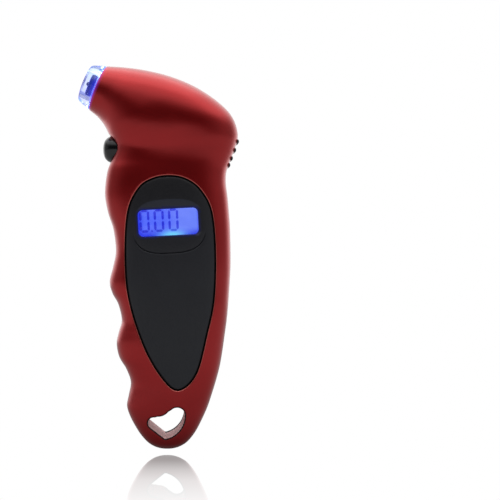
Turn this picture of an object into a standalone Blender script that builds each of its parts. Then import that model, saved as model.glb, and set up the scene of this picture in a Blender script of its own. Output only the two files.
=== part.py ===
"""Digital tire pressure gauge: a pistol-shaped hand gauge with a lit nozzle and a backlit display.

Frame: +Z runs up the handle, the nozzle points to -X and the display faces -Y. The two halves of
the casing meet at Y = 0. The origin is the bottom centre of the object. Sizes are in millimetres
and become metres where a mesh is made.
"""
import math

import bmesh
import bpy
from mathutils import Matrix, Vector

MM = 0.001
NAME = "tire_pressure_gauge"

# Casing -------------------------------------------------------------------------------------
GAP = 0.3                      # air between two pieces that touch
WALL = 2.2
SIDES, CAVITY_SIDES = 26, 16   # points round a section of the casing and of its hollow
CAVITY_FROM, CAVITY_TO = 1.0, 30.0   # the hollow runs between these stations

# The casing is a loft. Each station is a section between a point on the front (finger) outline
# and a point on the back (palm) outline, as (x, z) pairs, with its half thickness in Y and its
# squareness, 2 for an ellipse. The stations fan round the notch under the nozzle.
STATIONS = (
    (-27.2, 132.1, -20.0, 148.9, 9.1, 2.0),      # nozzle face
    (-24.1, 129.6, -13.2, 148.4, 10.9, 2.05),
    (-21.9, 127.0, -5.0, 147.2, 12.9, 2.1),
    (-20.5, 124.7, 4.4, 144.8, 14.6, 2.2),
    (-19.4, 122.4, 13.8, 140.9, 15.8, 2.3),
    (-18.3, 120.4, 22.5, 135.3, 16.2, 2.4),
    (-17.5, 118.6, 28.6, 129.2, 15.9, 2.45),
    (-17.2, 117.0, 31.0, 122.2, 15.0, 2.5),      # notch, behind the button
    (-17.4, 115.2, 29.7, 116.4, 14.1, 2.6),
    (-18.4, 112.0, 27.8, 111.6, 13.7, 2.7),
    (-19.8, 108.2, 26.5, 107.4, 13.8, 2.8),
    (-20.6, 103.4, 26.3, 103.0, 14.0, 2.9),
    (-20.8, 98.0, 26.9, 98.0, 14.0, 3.0),        # first finger lobe
    (-19.6, 91.5, 27.5, 91.5, 14.0, 3.0),
    (-17.6, 85.3, 27.9, 85.3, 14.0, 3.0),
    (-16.6, 77.0, 28.1, 77.0, 14.0, 3.0),
    (-17.6, 71.0, 28.1, 71.0, 14.0, 3.0),
    (-19.0, 65.0, 27.8, 65.0, 14.0, 3.0),        # second finger lobe
    (-18.0, 60.5, 27.5, 60.5, 13.95, 3.0),
    (-15.6, 56.0, 27.2, 56.0, 13.85, 3.0),
    (-14.3, 49.9, 26.6, 49.9, 13.6, 3.0),
    (-15.4, 45.5, 26.0, 45.5, 13.2, 2.95),
    (-16.3, 41.0, 25.4, 41.0, 12.9, 2.9),        # third finger lobe
    (-15.3, 35.6, 24.6, 35.6, 12.3, 2.85),
    (-12.6, 31.0, 23.7, 31.0, 11.8, 2.8),
    (-10.8, 25.8, 22.3, 25.8, 11.2, 2.75),
    (-11.6, 20.6, 20.7, 20.6, 10.7, 2.7),
    (-12.3, 16.4, 19.3, 16.4, 10.1, 2.65),       # fourth finger lobe
    (-10.9, 12.0, 17.4, 12.0, 9.4, 2.6),
    (-8.4, 7.4, 15.1, 7.4, 8.4, 2.5),
    (-6.3, 4.4, 13.1, 4.4, 7.6, 2.4),
    (-4.2, 2.2, 11.1, 2.2, 6.5, 2.3),
    (-2.0, 0.7, 8.8, 0.7, 4.6, 2.2),
    (-0.2, 0.0, 7.0, 0.0, 3.2, 2.0),             # flat of the tail
)
RIB_STATIONS = (7.45, 8.05, 8.7, 9.3)            # grip ribs below the back of the head
RIB_REACH, RIB_RADIUS = 0.42, 1.0                # half their arc in radians, and their radius

# Face panel and display ---------------------------------------------------------------------
PANEL_OUTLINE = (                                # (x, z), an egg with its narrow end down
    (4.7, 104.7), (10.4, 103.5), (15.7, 99.6), (20.0, 91.3), (21.4, 75.0), (20.8, 58.3),
    (18.4, 46.2), (14.2, 30.3), (7.5, 24.1), (1.2, 29.5), (-5.3, 41.3), (-10.7, 58.3),
    (-12.2, 75.0), (-11.2, 91.3), (-7.1, 100.2), (-1.6, 103.8))
PANEL_SINK, PANEL_SQUARER, PANEL_GROOVE = 1.2, 0.2, 0.45
PANEL_RISE_LOW, PANEL_RISE_MORE = 0.5, 1.0       # how far it stands proud, and its swell
PANEL_SWELL_Z, PANEL_SWELL_REACH = 84.0, 22.0    # where it swells most, and how far that spreads
EYE_CENTRE, EYE_RADII, EYE_DEPTH = (4.3, 89.4), (13.5, 7.2), 1.5
EYE_STATION = 14.0                               # the station level with the eye
WINDOW_CENTRE, WINDOW_SIZE, WINDOW_CORNER = (3.8, 87.6), (22.5, 9.8), 1.8
WINDOW_TILT = math.radians(3.0)
LENS_FACE, LENS_THICK = -13.5, 1.0
LCD_SIZE, LCD_FACE, LCD_THICK = (25.0, 14.4), -12.2, 1.4

# Nozzle, along its own axis from the casing's nozzle face ------------------------------------
NOZZLE_BASE = Vector((-23.6, 0.0, 140.5))
NOZZLE_TILT = math.radians(-66.6)                # turns +Z to the nozzle's direction
CORE_RADIUS, CORE_BORE = 4.2, 1.5
MOUTH_RADIUS, CAP_SPIGOT, CAP_LENGTH = 4.6, 7.4, 5.5
LED_OFFSET, LED_RADIUS = 5.85, 1.0
LEAD_HOLE_UP, LEAD_HOLE_RADIUS = 8.0, 2.5
BULKHEAD_FROM, BULKHEAD_TO, BULKHEAD_RADIUS = -12.6, -10.3, 14.0

# Button -------------------------------------------------------------------------------------
BUTTON_CENTRE = Vector((-17.3, 0.0, 116.5))
BUTTON_HEIGHT_RATIO = 11.0 / 12.0
BUTTON_HOLE, BUTTON_FLANGE, BUTTON_WELL = 6.4, 6.9, 7.3

# Boards -------------------------------------------------------------------------------------
BOARD_LOW, BOARD_HIGH = Vector((-11.0, -6.8, 70.0)), Vector((17.0, -5.2, 126.0))
SENSOR_CENTRE = Vector((9.0, -2.9, 117.0))
SENSOR_HALF, SENSOR_TALL, SENSOR_PORT = 4.0, 2.0, 1.2
WIRE_RADIUS, TUBE_RADIUS = 0.45, 1.4
SWITCH_HALF, SWITCH_BACK, SWITCH_FRONT = 3.0, -7.3, -10.9
SWITCH_BOARD_LOW, SWITCH_BOARD_HIGH = (-7.0, -4.6, 109.0), (-5.8, 6.0, 124.0)
PLUNGER_RADIUS, PLUNGER_BACK, PLUNGER_FRONT = 1.75, -9.3, -12.1

# Battery bay --------------------------------------------------------------------------------
DOOR_CENTRE, DOOR_SIZE, DOOR_CORNER = (3.8, 76.5), (29.6, 48.0), 4.0
DOOR_THICK = 1.5
DOOR_SCREW, DOOR_SCREW_SEAT = (3.8, 96.9), 13.2
COIN_CENTRE, COIN_RADIUS, COIN_THICK = Vector((3.8, 4.6, 83.0)), 10.0, 3.2
CELL_RADIUS, CELL_THICK, CELL_Y, CELL_Z = 5.8, 5.4, 3.0, 61.0
CELL_STARTS = (-2.2, 3.5, 9.2)
OUT = 25.0                                       # a Y outside the casing, where its cutters end
CELL_BLOCK = (-11.2, -5.2, 51.8), (18.8, OUT, 69.0)    # solid round the cells, cut out of the hollow
COIN_BLOCK = (-11.2, 1.2, 68.7), (18.8, OUT, 99.6)
CELL_BAY = (-6.8, -3.9, 55.0), (15.8, OUT, 67.2)
CONTACT_SLOT = (12.0, 2.6, 80.9), (16.4, OUT, 85.1)
COIN_BAY_FLOOR, COIN_BAY_RADIUS = 2.6, COIN_RADIUS + 0.5
SPRING_TURNS, SPRING_PER_TURN, SPRING_START, SPRING_LENGTH = 3.5, 10, -6.2, 3.3
SPRING_WIDE, SPRING_TAPER, SPRING_WIRE = 4.2, 1.8, 0.3

# Screws and lanyard eye ---------------------------------------------------------------------
CASE_SCREWS = ((6.0, 24.0), (6.5, 45.5), (-10.5, 104.0), (20.5, 121.5))
BOSS_RADIUS, WELL_RADIUS, SEAT_Y, SHANK_RADIUS, HEAD_RADIUS = 3.3, 2.5, 4.0, 0.9, 2.1
EYELET_ARCS = (              # centre x, z, radius, start and end angle in degrees
    (-1.6, 10.8, 2.35, 222.0, 82.0),             # small lobe
    (-0.1, 18.5, 5.05, 268.0, 322.0),            # cleft
    (7.2, 14.0, 3.0, 135.0, 1.3),                # large lobe
    (0.7, 13.85, 9.5, -8.0, -66.0),              # long bowed side
    (2.9, 5.95, 1.3, -74.4, -128.0))             # point
EYELET_WALL = 1.6


# Helpers ------------------------------------------------------------------------------------
def clear_scene():
    for thing in list(bpy.data.objects):
        bpy.data.objects.remove(thing, do_unlink=True)


def new_group(name):
    group = bpy.data.collections.new(name)
    bpy.context.scene.collection.children.link(group)
    return group


def material(name, colour, roughness, metallic=0.0, alpha=1.0):
    """A Principled material, made once for each name."""
    found = bpy.data.materials.get(name)
    if found:
        return found
    made = bpy.data.materials.new(name)
    made.use_nodes = True
    shader = made.node_tree.nodes["Principled BSDF"]
    shader.inputs["Base Color"].default_value = (*colour, 1.0)
    shader.inputs["Roughness"].default_value = roughness
    shader.inputs["Metallic"].default_value = metallic
    shader.inputs["Alpha"].default_value = alpha
    return made


def place(name, mesh, finish=None, matrix=None):
    """Link a mesh as a part when it has a finish, and as a cutter when it has none."""
    item = bpy.data.objects.new(name, mesh)
    if matrix:
        item.matrix_world = matrix
    if finish:
        mesh.materials.append(finish)
        mesh.shade_smooth()
        mesh.set_sharp_from_angle(angle=math.radians(35))
        parts.objects.link(item)
    else:
        item.hide_render = True
        item.display_type = "WIRE"
        cutters.objects.link(item)
    return item


def mesh_from(name, shape):
    bmesh.ops.recalc_face_normals(shape, faces=shape.faces)
    mesh = bpy.data.meshes.new(name)
    shape.to_mesh(mesh)
    shape.free()
    return mesh


def box(name, low, high, finish=None):
    low, high = Vector(low), Vector(high)
    shape = bmesh.new()
    bmesh.ops.create_cube(shape, size=1.0)
    bmesh.ops.scale(shape, vec=(high - low) * MM, verts=shape.verts)
    return place(name, mesh_from(name, shape), finish, Matrix.Translation((low + high) / 2 * MM))


def rod(name, start, end, radius, finish=None, sides=20):
    """A cylinder between two points, with its origin at its middle."""
    start, end = Vector(start), Vector(end)
    shape = bmesh.new()
    bmesh.ops.create_cone(shape, cap_ends=True, segments=sides, radius1=radius * MM,
                          radius2=radius * MM, depth=(end - start).length * MM)
    turn = (end - start).to_track_quat("Z", "Y").to_matrix().to_4x4()
    middle = Matrix.Translation((start + end) / 2 * MM)
    return place(name, mesh_from(name, shape), finish, middle @ turn)


def turned(name, profile, matrix, finish=None, steps=32, closed=False):
    """Turn a profile of (radius, height) round local Z. It runs down the outer side."""
    count = len(profile)
    edges = [(i, (i + 1) % count) for i in range(count if closed else count - 1)]
    mesh = bpy.data.meshes.new(name)
    mesh.from_pydata([(r * MM, 0.0, h * MM) for r, h in profile], edges, [])
    item = place(name, mesh, finish, matrix)
    screw = item.modifiers.new("turn", "SCREW")
    screw.angle = math.tau
    screw.steps = screw.render_steps = steps
    screw.use_merge_vertices = True
    screw.merge_threshold = 0.000005
    screw.use_smooth_shade = True
    return item


def curve_mesh(name, points, settings):
    """The welded mesh of a POLY curve, closed when its settings say fill."""
    data = bpy.data.curves.new(name, "CURVE")
    flat = settings.get("extrude") is not None
    data.dimensions = "2D" if flat else "3D"
    if flat:
        data.fill_mode = "BOTH"
        data.extrude = settings["extrude"] * MM
    else:
        data.bevel_depth = settings["radius"] * MM
        data.bevel_resolution = 2
        data.use_fill_caps = True
    spline = data.splines.new("POLY")
    spline.points.add(len(points) - 1)
    for point, spot in zip(spline.points, points):
        point.co = (*(Vector(spot).to_3d() * MM), 1.0)
    spline.use_cyclic_u = flat
    guide = bpy.data.objects.new(name, data)
    cutters.objects.link(guide)
    bpy.context.view_layer.update()
    seen = guide.evaluated_get(bpy.context.evaluated_depsgraph_get())
    mesh = bpy.data.meshes.new_from_object(seen)
    bpy.data.objects.remove(guide, do_unlink=True)
    shape = bmesh.new()
    shape.from_mesh(mesh)
    bmesh.ops.remove_doubles(shape, verts=shape.verts, dist=0.000002)
    bpy.data.meshes.remove(mesh)
    return mesh_from(name, shape)


def prism(name, outline, y_low, y_high, finish=None):
    """An outline in X and Z, run from one Y to another."""
    mesh = curve_mesh(name, outline, {"extrude": (y_high - y_low) / 2})
    middle = Matrix.Translation((0, (y_low + y_high) / 2 * MM, 0))
    return place(name, mesh, finish, middle @ Matrix.Rotation(math.pi / 2, 4, "X"))


def wire(name, points, radius, finish=None, per=3):
    return place(name, curve_mesh(name, smooth(points, per), {"radius": radius}), finish)


def between(t, a, b, c, d):
    """A Catmull-Rom curve's value from b at t = 0 to c at t = 1."""
    return 0.5 * (2 * b + (c - a) * t + (2 * a - 5 * b + 4 * c - d) * t ** 2
                  + (3 * b - a - 3 * c + d) * t ** 3)


def smooth(points, per, closed=False):
    """A curve through the points, with `per` steps between each two."""
    spots = [Vector(p) for p in points]
    count = len(spots)

    def at(i):
        return spots[i % count] if closed else spots[min(max(i, 0), count - 1)]

    found = []
    for i in range(count if closed else count - 1):
        a, b, c, d = at(i - 1), at(i), at(i + 1), at(i + 2)
        for k in range(per):
            found.append(between(k / per, a, b, c, d))
    return found if closed else found + [spots[-1]]


def grown(outline, reach):
    """The outline moved out by `reach` along its normals. It runs clockwise in X and Z."""
    count = len(outline)
    found = []
    for i, spot in enumerate(outline):
        along = (outline[(i + 1) % count] - outline[i - 1]).normalized()
        found.append(spot + Vector((-along.y, along.x)) * reach)
    return found


def rounded_rectangle(centre, size, corner, tilt=0.0, per=5):
    """Clockwise from the top right corner, turned about its centre."""
    half = Vector(size) / 2 - Vector((corner, corner))
    turn = Matrix.Rotation(tilt, 2)
    found = []
    for number, (sx, sz) in enumerate(((1, 1), (1, -1), (-1, -1), (-1, 1))):
        for k in range(per + 1):
            angle = math.radians(90 - 90 * number - 90 * k / per)
            round_it = Vector((math.cos(angle), math.sin(angle))) * corner
            found.append(Vector(centre) + turn @ (Vector((sx * half.x, sz * half.y)) + round_it))
    return found


def eyelet_outline(per=6):
    found = []
    for x, z, radius, start, end in EYELET_ARCS:
        for k in range(per + 1):
            angle = math.radians(start + (end - start) * k / per)
            found.append(Vector((x + radius * math.cos(angle), z + radius * math.sin(angle))))
    return found


def boolean(target, tool, operation="DIFFERENCE"):
    step = target.modifiers.new(f"{operation.lower()} {tool.name}", "BOOLEAN")
    step.object = tool
    step.operation = operation
    step.solver = "EXACT"


# Casing -------------------------------------------------------------------------------------
def station(where):
    """The station's six values at a fractional place along the loft."""
    low = min(int(where), len(STATIONS) - 2)
    rows = [STATIONS[min(max(low + k, 0), len(STATIONS) - 1)] for k in (-1, 0, 1, 2)]
    t = where - low
    return [between(t, *four) for four in zip(*rows)]


def section_point(values, angle, inset=0.0, squarer=0.0):
    """A point of a section: angle 0 is the back outline, and pi is the front outline."""
    front_x, front_z, back_x, back_z, thick, squareness = values
    front, back = Vector((front_x, 0, front_z)), Vector((back_x, 0, back_z))
    middle, half = (front + back) / 2, (back - front) / 2
    half *= 1 - inset / half.length
    power = 2 / (squareness + squarer)
    across = math.copysign(abs(math.cos(angle)) ** power, math.cos(angle))
    aside = math.copysign(abs(math.sin(angle)) ** power, math.sin(angle))
    return middle + half * across + Vector((0, (thick - inset) * aside, 0))


def panel_rise(z):
    spread = (z - PANEL_SWELL_Z) / PANEL_SWELL_REACH
    return PANEL_RISE_LOW + PANEL_RISE_MORE * math.exp(-spread ** 2)


def loft(name, inset=0.0, first=0.0, last=None, sides=SIDES, crown=False):
    """The casing's outer form, the same form moved in by `inset`, or the panel's crown over it."""
    last = len(STATIONS) - 1 if last is None else last
    squarer = PANEL_SQUARER if crown else 0.0
    places = [first, *(i for i in range(len(STATIONS)) if first < i < last), last]
    shape = bmesh.new()
    rings = []
    for where in places:
        values = station(where)
        if crown:
            inset = -panel_rise((values[1] + values[3]) / 2)
        spots = [section_point(values, math.tau * k / sides, inset, squarer) for k in range(sides)]
        rings.append([shape.verts.new(spot * MM) for spot in spots])
    for ring, after in zip(rings, rings[1:]):
        for k in range(sides):
            n = (k + 1) % sides
            shape.faces.new((ring[k], ring[n], after[n], after[k]))
    shape.faces.new(rings[0])
    shape.faces.new(rings[-1])
    return place(name, mesh_from(name, shape))


def nozzle_matrix(offset=(0.0, 0.0, 0.0)):
    """Local +Z runs out along the nozzle, from the casing's nozzle face."""
    return (Matrix.Translation(NOZZLE_BASE * MM) @ Matrix.Rotation(NOZZLE_TILT, 4, "Y")
            @ Matrix.Translation(Vector(offset) * MM))


def along_nozzle(out, up=0.0, side=0.0):
    turn = Matrix.Rotation(NOZZLE_TILT, 3, "Y")
    return NOZZLE_BASE + turn @ Vector((up, side, out))


def bore(name, start, end, radius, sides=28):
    """A round cutter along the nozzle's axis."""
    return rod(name, along_nozzle(start), along_nozzle(end), radius, sides=sides)


def make_casing():
    """Both shells: the outer form less a cavity that leaves bosses, ribs and walls standing."""
    outline = smooth(PANEL_OUTLINE, 4, closed=True)
    eyelet = eyelet_outline()
    pocket = prism("panel_pocket", grown(outline, PANEL_GROOVE), -25, -2)
    boolean(pocket, loft("panel_floor", PANEL_SINK))
    door_pocket = prism("door_pocket", grown(door_outline(), GAP), 2, OUT)
    boolean(door_pocket, loft("door_floor", DOOR_THICK + GAP))
    eyelet_block = prism("eyelet_block", grown(eyelet, EYELET_WALL), -30, 30)
    eyelet_hole = prism("eyelet_hole", eyelet, -30, 30)
    nozzle_hole = bore("nozzle_hole", -3.3, 3.0, CAP_SPIGOT + GAP)
    light_chamber = bore("light_chamber", -10.2, 0.0, CAP_SPIGOT - 0.2)
    core_hole = bore("core_hole", -14.0, 0.0, CORE_RADIUS + GAP)
    lead_hole = rod("lead_hole", along_nozzle(-14.0, LEAD_HOLE_UP), along_nozzle(-6.0, LEAD_HOLE_UP),
                    LEAD_HOLE_RADIUS, sides=12)
    z = BUTTON_CENTRE.z
    button_hole = rod("button_hole", (-26, 0, z), (-13, 0, z), BUTTON_HOLE, sides=28)
    button_well = rod("button_well", (-15, 0, z), (-11, 0, z), BUTTON_WELL, sides=28)
    for cutter in (button_hole, button_well):
        cutter.matrix_world = button_squash() @ cutter.matrix_world
    shared = (eyelet_hole, nozzle_hole, light_chamber, core_hole, lead_hole, button_hole, button_well)

    for name, side in (("display_shell", -1), ("back_shell", 1)):
        shell = loft(name)
        cutters.objects.unlink(shell)
        parts.objects.link(shell)
        shell.hide_render = False
        shell.display_type = "TEXTURED"
        shell.data.materials.append(SHELL_RED)
        shell.data.shade_smooth()
        shell.data.set_sharp_from_angle(angle=math.radians(35))
        add_ribs(shell, name)
        half = sorted((side * GAP / 2, side * 30.0))
        boolean(shell, box(f"{name}_half", (-60, half[0], -20), (60, half[1], 170)), "INTERSECT")
        cavity = loft(f"{name}_cavity", WALL, first=CAVITY_FROM, last=CAVITY_TO, sides=CAVITY_SIDES)
        boolean(cavity, eyelet_block)
        for number, (x, z) in enumerate(CASE_SCREWS):
            boolean(cavity, rod(f"{name}_boss_{number}", (x, -20, z), (x, 20, z), BOSS_RADIUS))
        boolean(cavity, bore(f"{name}_bulkhead", BULKHEAD_FROM, BULKHEAD_TO, BULKHEAD_RADIUS))
        if side > 0:
            boolean(cavity, box("cell_block", *CELL_BLOCK))
            boolean(cavity, box("coin_block", *COIN_BLOCK))
        boolean(shell, cavity)
        for cutter in shared:
            boolean(shell, cutter)
        if side < 0:
            boolean(shell, pocket)
            boolean(shell, prism("window_opening", lcd_clearance(), -20, -8))
            for number, spot in enumerate(CASE_SCREWS):
                boolean(shell, screw_hole(f"pilot_{number}", spot, -6, 1))
        else:
            boolean(shell, door_pocket)
            boolean(shell, box("cell_bay", *CELL_BAY))
            x, z = COIN_CENTRE.xz
            coin_bay = rod("coin_bay", (x, COIN_BAY_FLOOR, z), (x, OUT, z), COIN_BAY_RADIUS, sides=32)
            boolean(shell, coin_bay)
            boolean(shell, box("contact_slot", *CONTACT_SLOT))
            boolean(shell, screw_hole("door_pilot", DOOR_SCREW, 4, 20))
            for number, (x, z) in enumerate(CASE_SCREWS):
                boolean(shell, screw_hole(f"shank_{number}", (x, z), -1, 6))
                boolean(shell, rod(f"well_{number}", (x, SEAT_Y, z), (x, OUT, z), WELL_RADIUS))


def screw_hole(name, spot, y_low, y_high):
    x, z = spot
    return rod(name, (x, y_low, z), (x, y_high, z), SHANK_RADIUS + GAP, sides=12)


def add_ribs(shell, name):
    """Four ribs run across the back, following the casing's sections."""
    for number, where in enumerate(RIB_STATIONS):
        values = station(where)
        arc = [section_point(values, RIB_REACH * k / 3, 0.25) for k in range(-3, 4)]
        rib = place(f"{name}_rib_{number}", curve_mesh("rib", arc, {"radius": RIB_RADIUS}))
        boolean(shell, rib, "UNION")


def door_outline():
    return rounded_rectangle(DOOR_CENTRE, DOOR_SIZE, DOOR_CORNER)


# Face panel and display ---------------------------------------------------------------------
def lcd_clearance():
    size = Vector(LCD_SIZE) + Vector((2 * GAP, 2 * GAP))
    return rounded_rectangle(WINDOW_CENTRE, size, 1.0, WINDOW_TILT, 2)


def make_panel():
    """A crowned panel with a scooped eye round the window, and the lens that fills the window."""
    outline = smooth(PANEL_OUTLINE, 4, closed=True)
    panel = prism("face_panel", outline, -22, -2, PANEL_BLACK)
    boolean(panel, loft("panel_crown", crown=True), "INTERSECT")
    boolean(panel, loft("panel_back", PANEL_SINK - GAP))
    scoop = bmesh.new()
    bmesh.ops.create_uvsphere(scoop, u_segments=28, v_segments=14, radius=MM)
    x, z = EYE_CENTRE
    surface = -(station(EYE_STATION)[4] + panel_rise(z))
    eye = place("eye_scoop", mesh_from("eye_scoop", scoop), None,
                Matrix.Translation(Vector((x, surface, z)) * MM)
                @ Matrix.Diagonal((EYE_RADII[0], EYE_DEPTH, EYE_RADII[1], 1)))
    boolean(panel, eye)
    boolean(panel, prism("lcd_relief", lcd_clearance(), LCD_FACE - GAP, -2))
    window = rounded_rectangle(WINDOW_CENTRE, WINDOW_SIZE, WINDOW_CORNER, WINDOW_TILT)
    boolean(panel, prism("window_hole", grown(window, GAP), -22, -2))
    prism("window_lens", window, LENS_FACE, LENS_FACE + LENS_THICK, CLEAR)


def tilted_box(name, centre, size, y_low, y_high, finish):
    """A block behind the window, turned with it. Its centre is counted from the window's."""
    turn = Matrix.Rotation(WINDOW_TILT, 2)
    middle = Vector(WINDOW_CENTRE) + turn @ Vector(centre)
    low = Vector((-size[0] / 2, y_low, -size[1] / 2))
    item = box(name, low, (size[0] / 2, y_high, size[1] / 2), finish)
    item.location.x, item.location.z = middle * MM
    item.rotation_euler = (0, -WINDOW_TILT, 0)
    return item


def make_display():
    """The display cell, its light and its rubber connector, between the lens and the board."""
    tilted_box("lcd_glass", (0, 0), LCD_SIZE, LCD_FACE, LCD_FACE + LCD_THICK, LCD_BLUE)
    tilted_box("backlight_diffuser", (0, -0.9), (24.0, 12.0), -10.6, -8.4, DIFFUSER)
    tilted_box("zebra_strip", (0, 6.3), (23.0, 1.2), -10.6, BOARD_LOW.y - GAP, RUBBER)
    tilted_box("backlight_led", (2.2, -8.5), (3.0, 1.6), -9.5, BOARD_LOW.y - GAP, LED_WHITE)


# Electronics --------------------------------------------------------------------------------
def make_boards():
    """The main board with its parts, and the small board that carries the switch."""
    board = box("main_board", BOARD_LOW, BOARD_HIGH, BOARD_GREEN)
    for number, (x, z) in enumerate(CASE_SCREWS[2:]):
        boolean(board, rod(f"board_notch_{number}", (x, -9, z), (x, -3, z), BOSS_RADIUS + 0.6))
    top = BOARD_HIGH.y + GAP
    lift = Matrix.Translation(Vector((4.0, top, 90.0)) * MM) @ Matrix.Rotation(-math.pi / 2, 4, "X")
    turned("controller_blob", ((0, 1.3), (2.0, 1.15), (3.6, 0.6), (4.2, 0), (0, 0)), lift, EPOXY, 24)
    rod("crystal_can", (11, top + 1.1, 99), (11, top + 1.1, 105), 1.0, STEEL, 16)
    rod("smoothing_capacitor", (-3, top, 112), (-3, top + 5.0, 112), 2.0, CAPACITOR, 20)
    low = SENSOR_CENTRE - Vector((SENSOR_HALF, 0, SENSOR_HALF))
    low.y = top
    high = SENSOR_CENTRE + Vector((SENSOR_HALF, SENSOR_TALL, SENSOR_HALF))
    sensor = box("pressure_sensor", low, high, SENSOR_GREY)
    port_end = SENSOR_CENTRE + Vector((0, 4.4, 0))
    port = rod("sensor_port", SENSOR_CENTRE + Vector((0, 1, 0)), port_end, SENSOR_PORT, sides=14)
    boolean(sensor, port, "UNION")
    box("switch_board", SWITCH_BOARD_LOW, SWITCH_BOARD_HIGH, BOARD_GREEN)
    z = BUTTON_CENTRE.z
    body = box("switch_body", (SWITCH_FRONT, -SWITCH_HALF, z - SWITCH_HALF),
               (SWITCH_BACK, SWITCH_HALF, z + SWITCH_HALF), SWITCH_BLACK)
    hole_end = (PLUNGER_BACK + 1.0, 0, z)
    boolean(body, rod("plunger_hole", (-14, 0, z), hole_end, PLUNGER_RADIUS + GAP))
    rod("switch_plunger", (PLUNGER_FRONT, 0, z), (PLUNGER_BACK, 0, z), PLUNGER_RADIUS, SWITCH_BLACK)


def make_wires():
    """Three pairs of leads: to the nozzle's light, to the switch and to the battery bay."""
    for tone, colour, side in (("red", WIRE_RED, -0.6), ("black", WIRE_BLACK, 0.6)):
        wire(f"led_lead_{tone}", (
            along_nozzle(-5.9, LED_OFFSET, side * 0.8), along_nozzle(-8.0, LEAD_HOLE_UP - 0.7, side),
            along_nozzle(-11.5, LEAD_HOLE_UP, side * 1.4), (-3.0, side * 2, 140.5),
            (6.0, side * 2 - 1, 137.5), (13.0, side * 2 - 2, 134.0), (13.5 + side, -4.0, 128.5),
            (13.0 + side, -4.4, 124.0)), WIRE_RADIUS, colour)
        wire(f"switch_lead_{tone}", (
            (-5.4, side * 2, 121.0 + side * 2), (-4.0, side * 2, 121.4 + side * 2),
            (-1.4, side - 2.0, 120.6 + side * 2), (0.4, -4.0, 119.5 + side * 2),
            (2.5, -4.4, 119.0 + side * 2)), WIRE_RADIUS, colour)
        x = 15.0 + side * 2.4
        wire(f"battery_lead_{tone}", (
            (x, -5.8, 60.0), (x + 0.6, -7.6, 62.5), (x, -8.6, 68.0), (x - 2.0, -8.0, 73.0),
            (x - 2.6, -7.4, 76.0)), WIRE_RADIUS, colour)


def make_sensor_tube():
    end = SENSOR_CENTRE + Vector((0, 4.7, 0))
    wire("sensor_tube", (along_nozzle(-18.3), along_nozzle(-21.0), (1.0, 1.6, 129.4), (6.4, 5.0, 124.6),
                         (9.0, 6.6, 119.6), (9.0, 4.9, 117.3), end), TUBE_RADIUS, TUBE_GREY)


# Nozzle -------------------------------------------------------------------------------------
def make_nozzle():
    """The clear lit cap, the core with its seal and pin, and the light."""
    cap = turned("nozzle_cap", (
        (MOUTH_RADIUS, CAP_LENGTH), (6.6, CAP_LENGTH), (7.2, CAP_LENGTH - 0.25), (7.5, 4.7), (8.9, 1.0),
        (9.0, 0.7), (9.0, GAP), (CAP_SPIGOT, GAP), (CAP_SPIGOT, -3.0), (MOUTH_RADIUS, -3.0)),
        nozzle_matrix(), CLEAR, 36, closed=True)
    pocket = rod("led_pocket", along_nozzle(-4.0, LED_OFFSET), along_nozzle(1.2, LED_OFFSET),
                 LED_RADIUS + GAP, sides=16)
    boolean(cap, pocket)
    turned("nozzle_core", (
        (CORE_BORE, 0.4), (CORE_RADIUS, 0.4), (CORE_RADIUS, -7.0), (6.0, -7.0), (6.0, -8.4),
        (CORE_RADIUS, -8.4), (CORE_RADIUS, -14.0), (1.9, -14.8), (1.9, -18.0), (0.8, -18.0),
        (0.8, -7.0), (CORE_BORE, -7.0)),
        nozzle_matrix(), CORE_BLUE, 24, closed=True)
    turned("valve_seal", (
        (CORE_BORE, 2.4), (2.0, 2.7), (3.9, 2.7), (CORE_RADIUS, 2.4), (CORE_RADIUS, 0.7), (CORE_BORE, 0.7)),
        nozzle_matrix(), RUBBER, 24, closed=True)
    turned("valve_pin", (
        (0, 3.5), (0.5, 3.4), (0.8, 3.0), (0.8, -4.6), (1.2, -4.8), (1.2, -6.6), (0, -6.6)),
        nozzle_matrix(), BRASS, 16)
    ring = [(5.05 + 0.65 * math.cos(math.tau * k / 8), -9.35 - 0.65 * math.sin(math.tau * k / 8))
            for k in range(8)]
    turned("nozzle_oring", ring, nozzle_matrix(), RUBBER, 22, closed=True)
    turned("nozzle_led", (
        (0, 0.9), (0.5, 0.76), (0.87, 0.4), (LED_RADIUS, 0), (LED_RADIUS, -5.5), (0, -5.5)),
        nozzle_matrix((LED_OFFSET, 0, 0)), LED_WHITE, 16)


# Button -------------------------------------------------------------------------------------
def button_squash():
    """Makes round things at the button a little lower than wide."""
    centre = Matrix.Translation(BUTTON_CENTRE * MM)
    return centre @ Matrix.Diagonal((1, 1, BUTTON_HEIGHT_RATIO, 1)) @ centre.inverted()


def make_button():
    """A domed cap with a flange behind the casing's wall and a stem for the switch."""
    stand = Matrix.Translation(BUTTON_CENTRE * MM) @ Matrix.Rotation(-math.pi / 2, 4, "Y")
    turned("button_cap", (
        (0, 4.4), (2.1, 4.25), (3.9, 3.65), (5.2, 2.45), (5.8, 0.9), (5.95, -0.6), (5.95, -2.6),
        (BUTTON_FLANGE, -2.6), (BUTTON_FLANGE, -3.6), (2.2, -3.6), (2.2, -4.9), (0, -4.9)),
        button_squash() @ stand, BUTTON_BLACK, 28)


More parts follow.
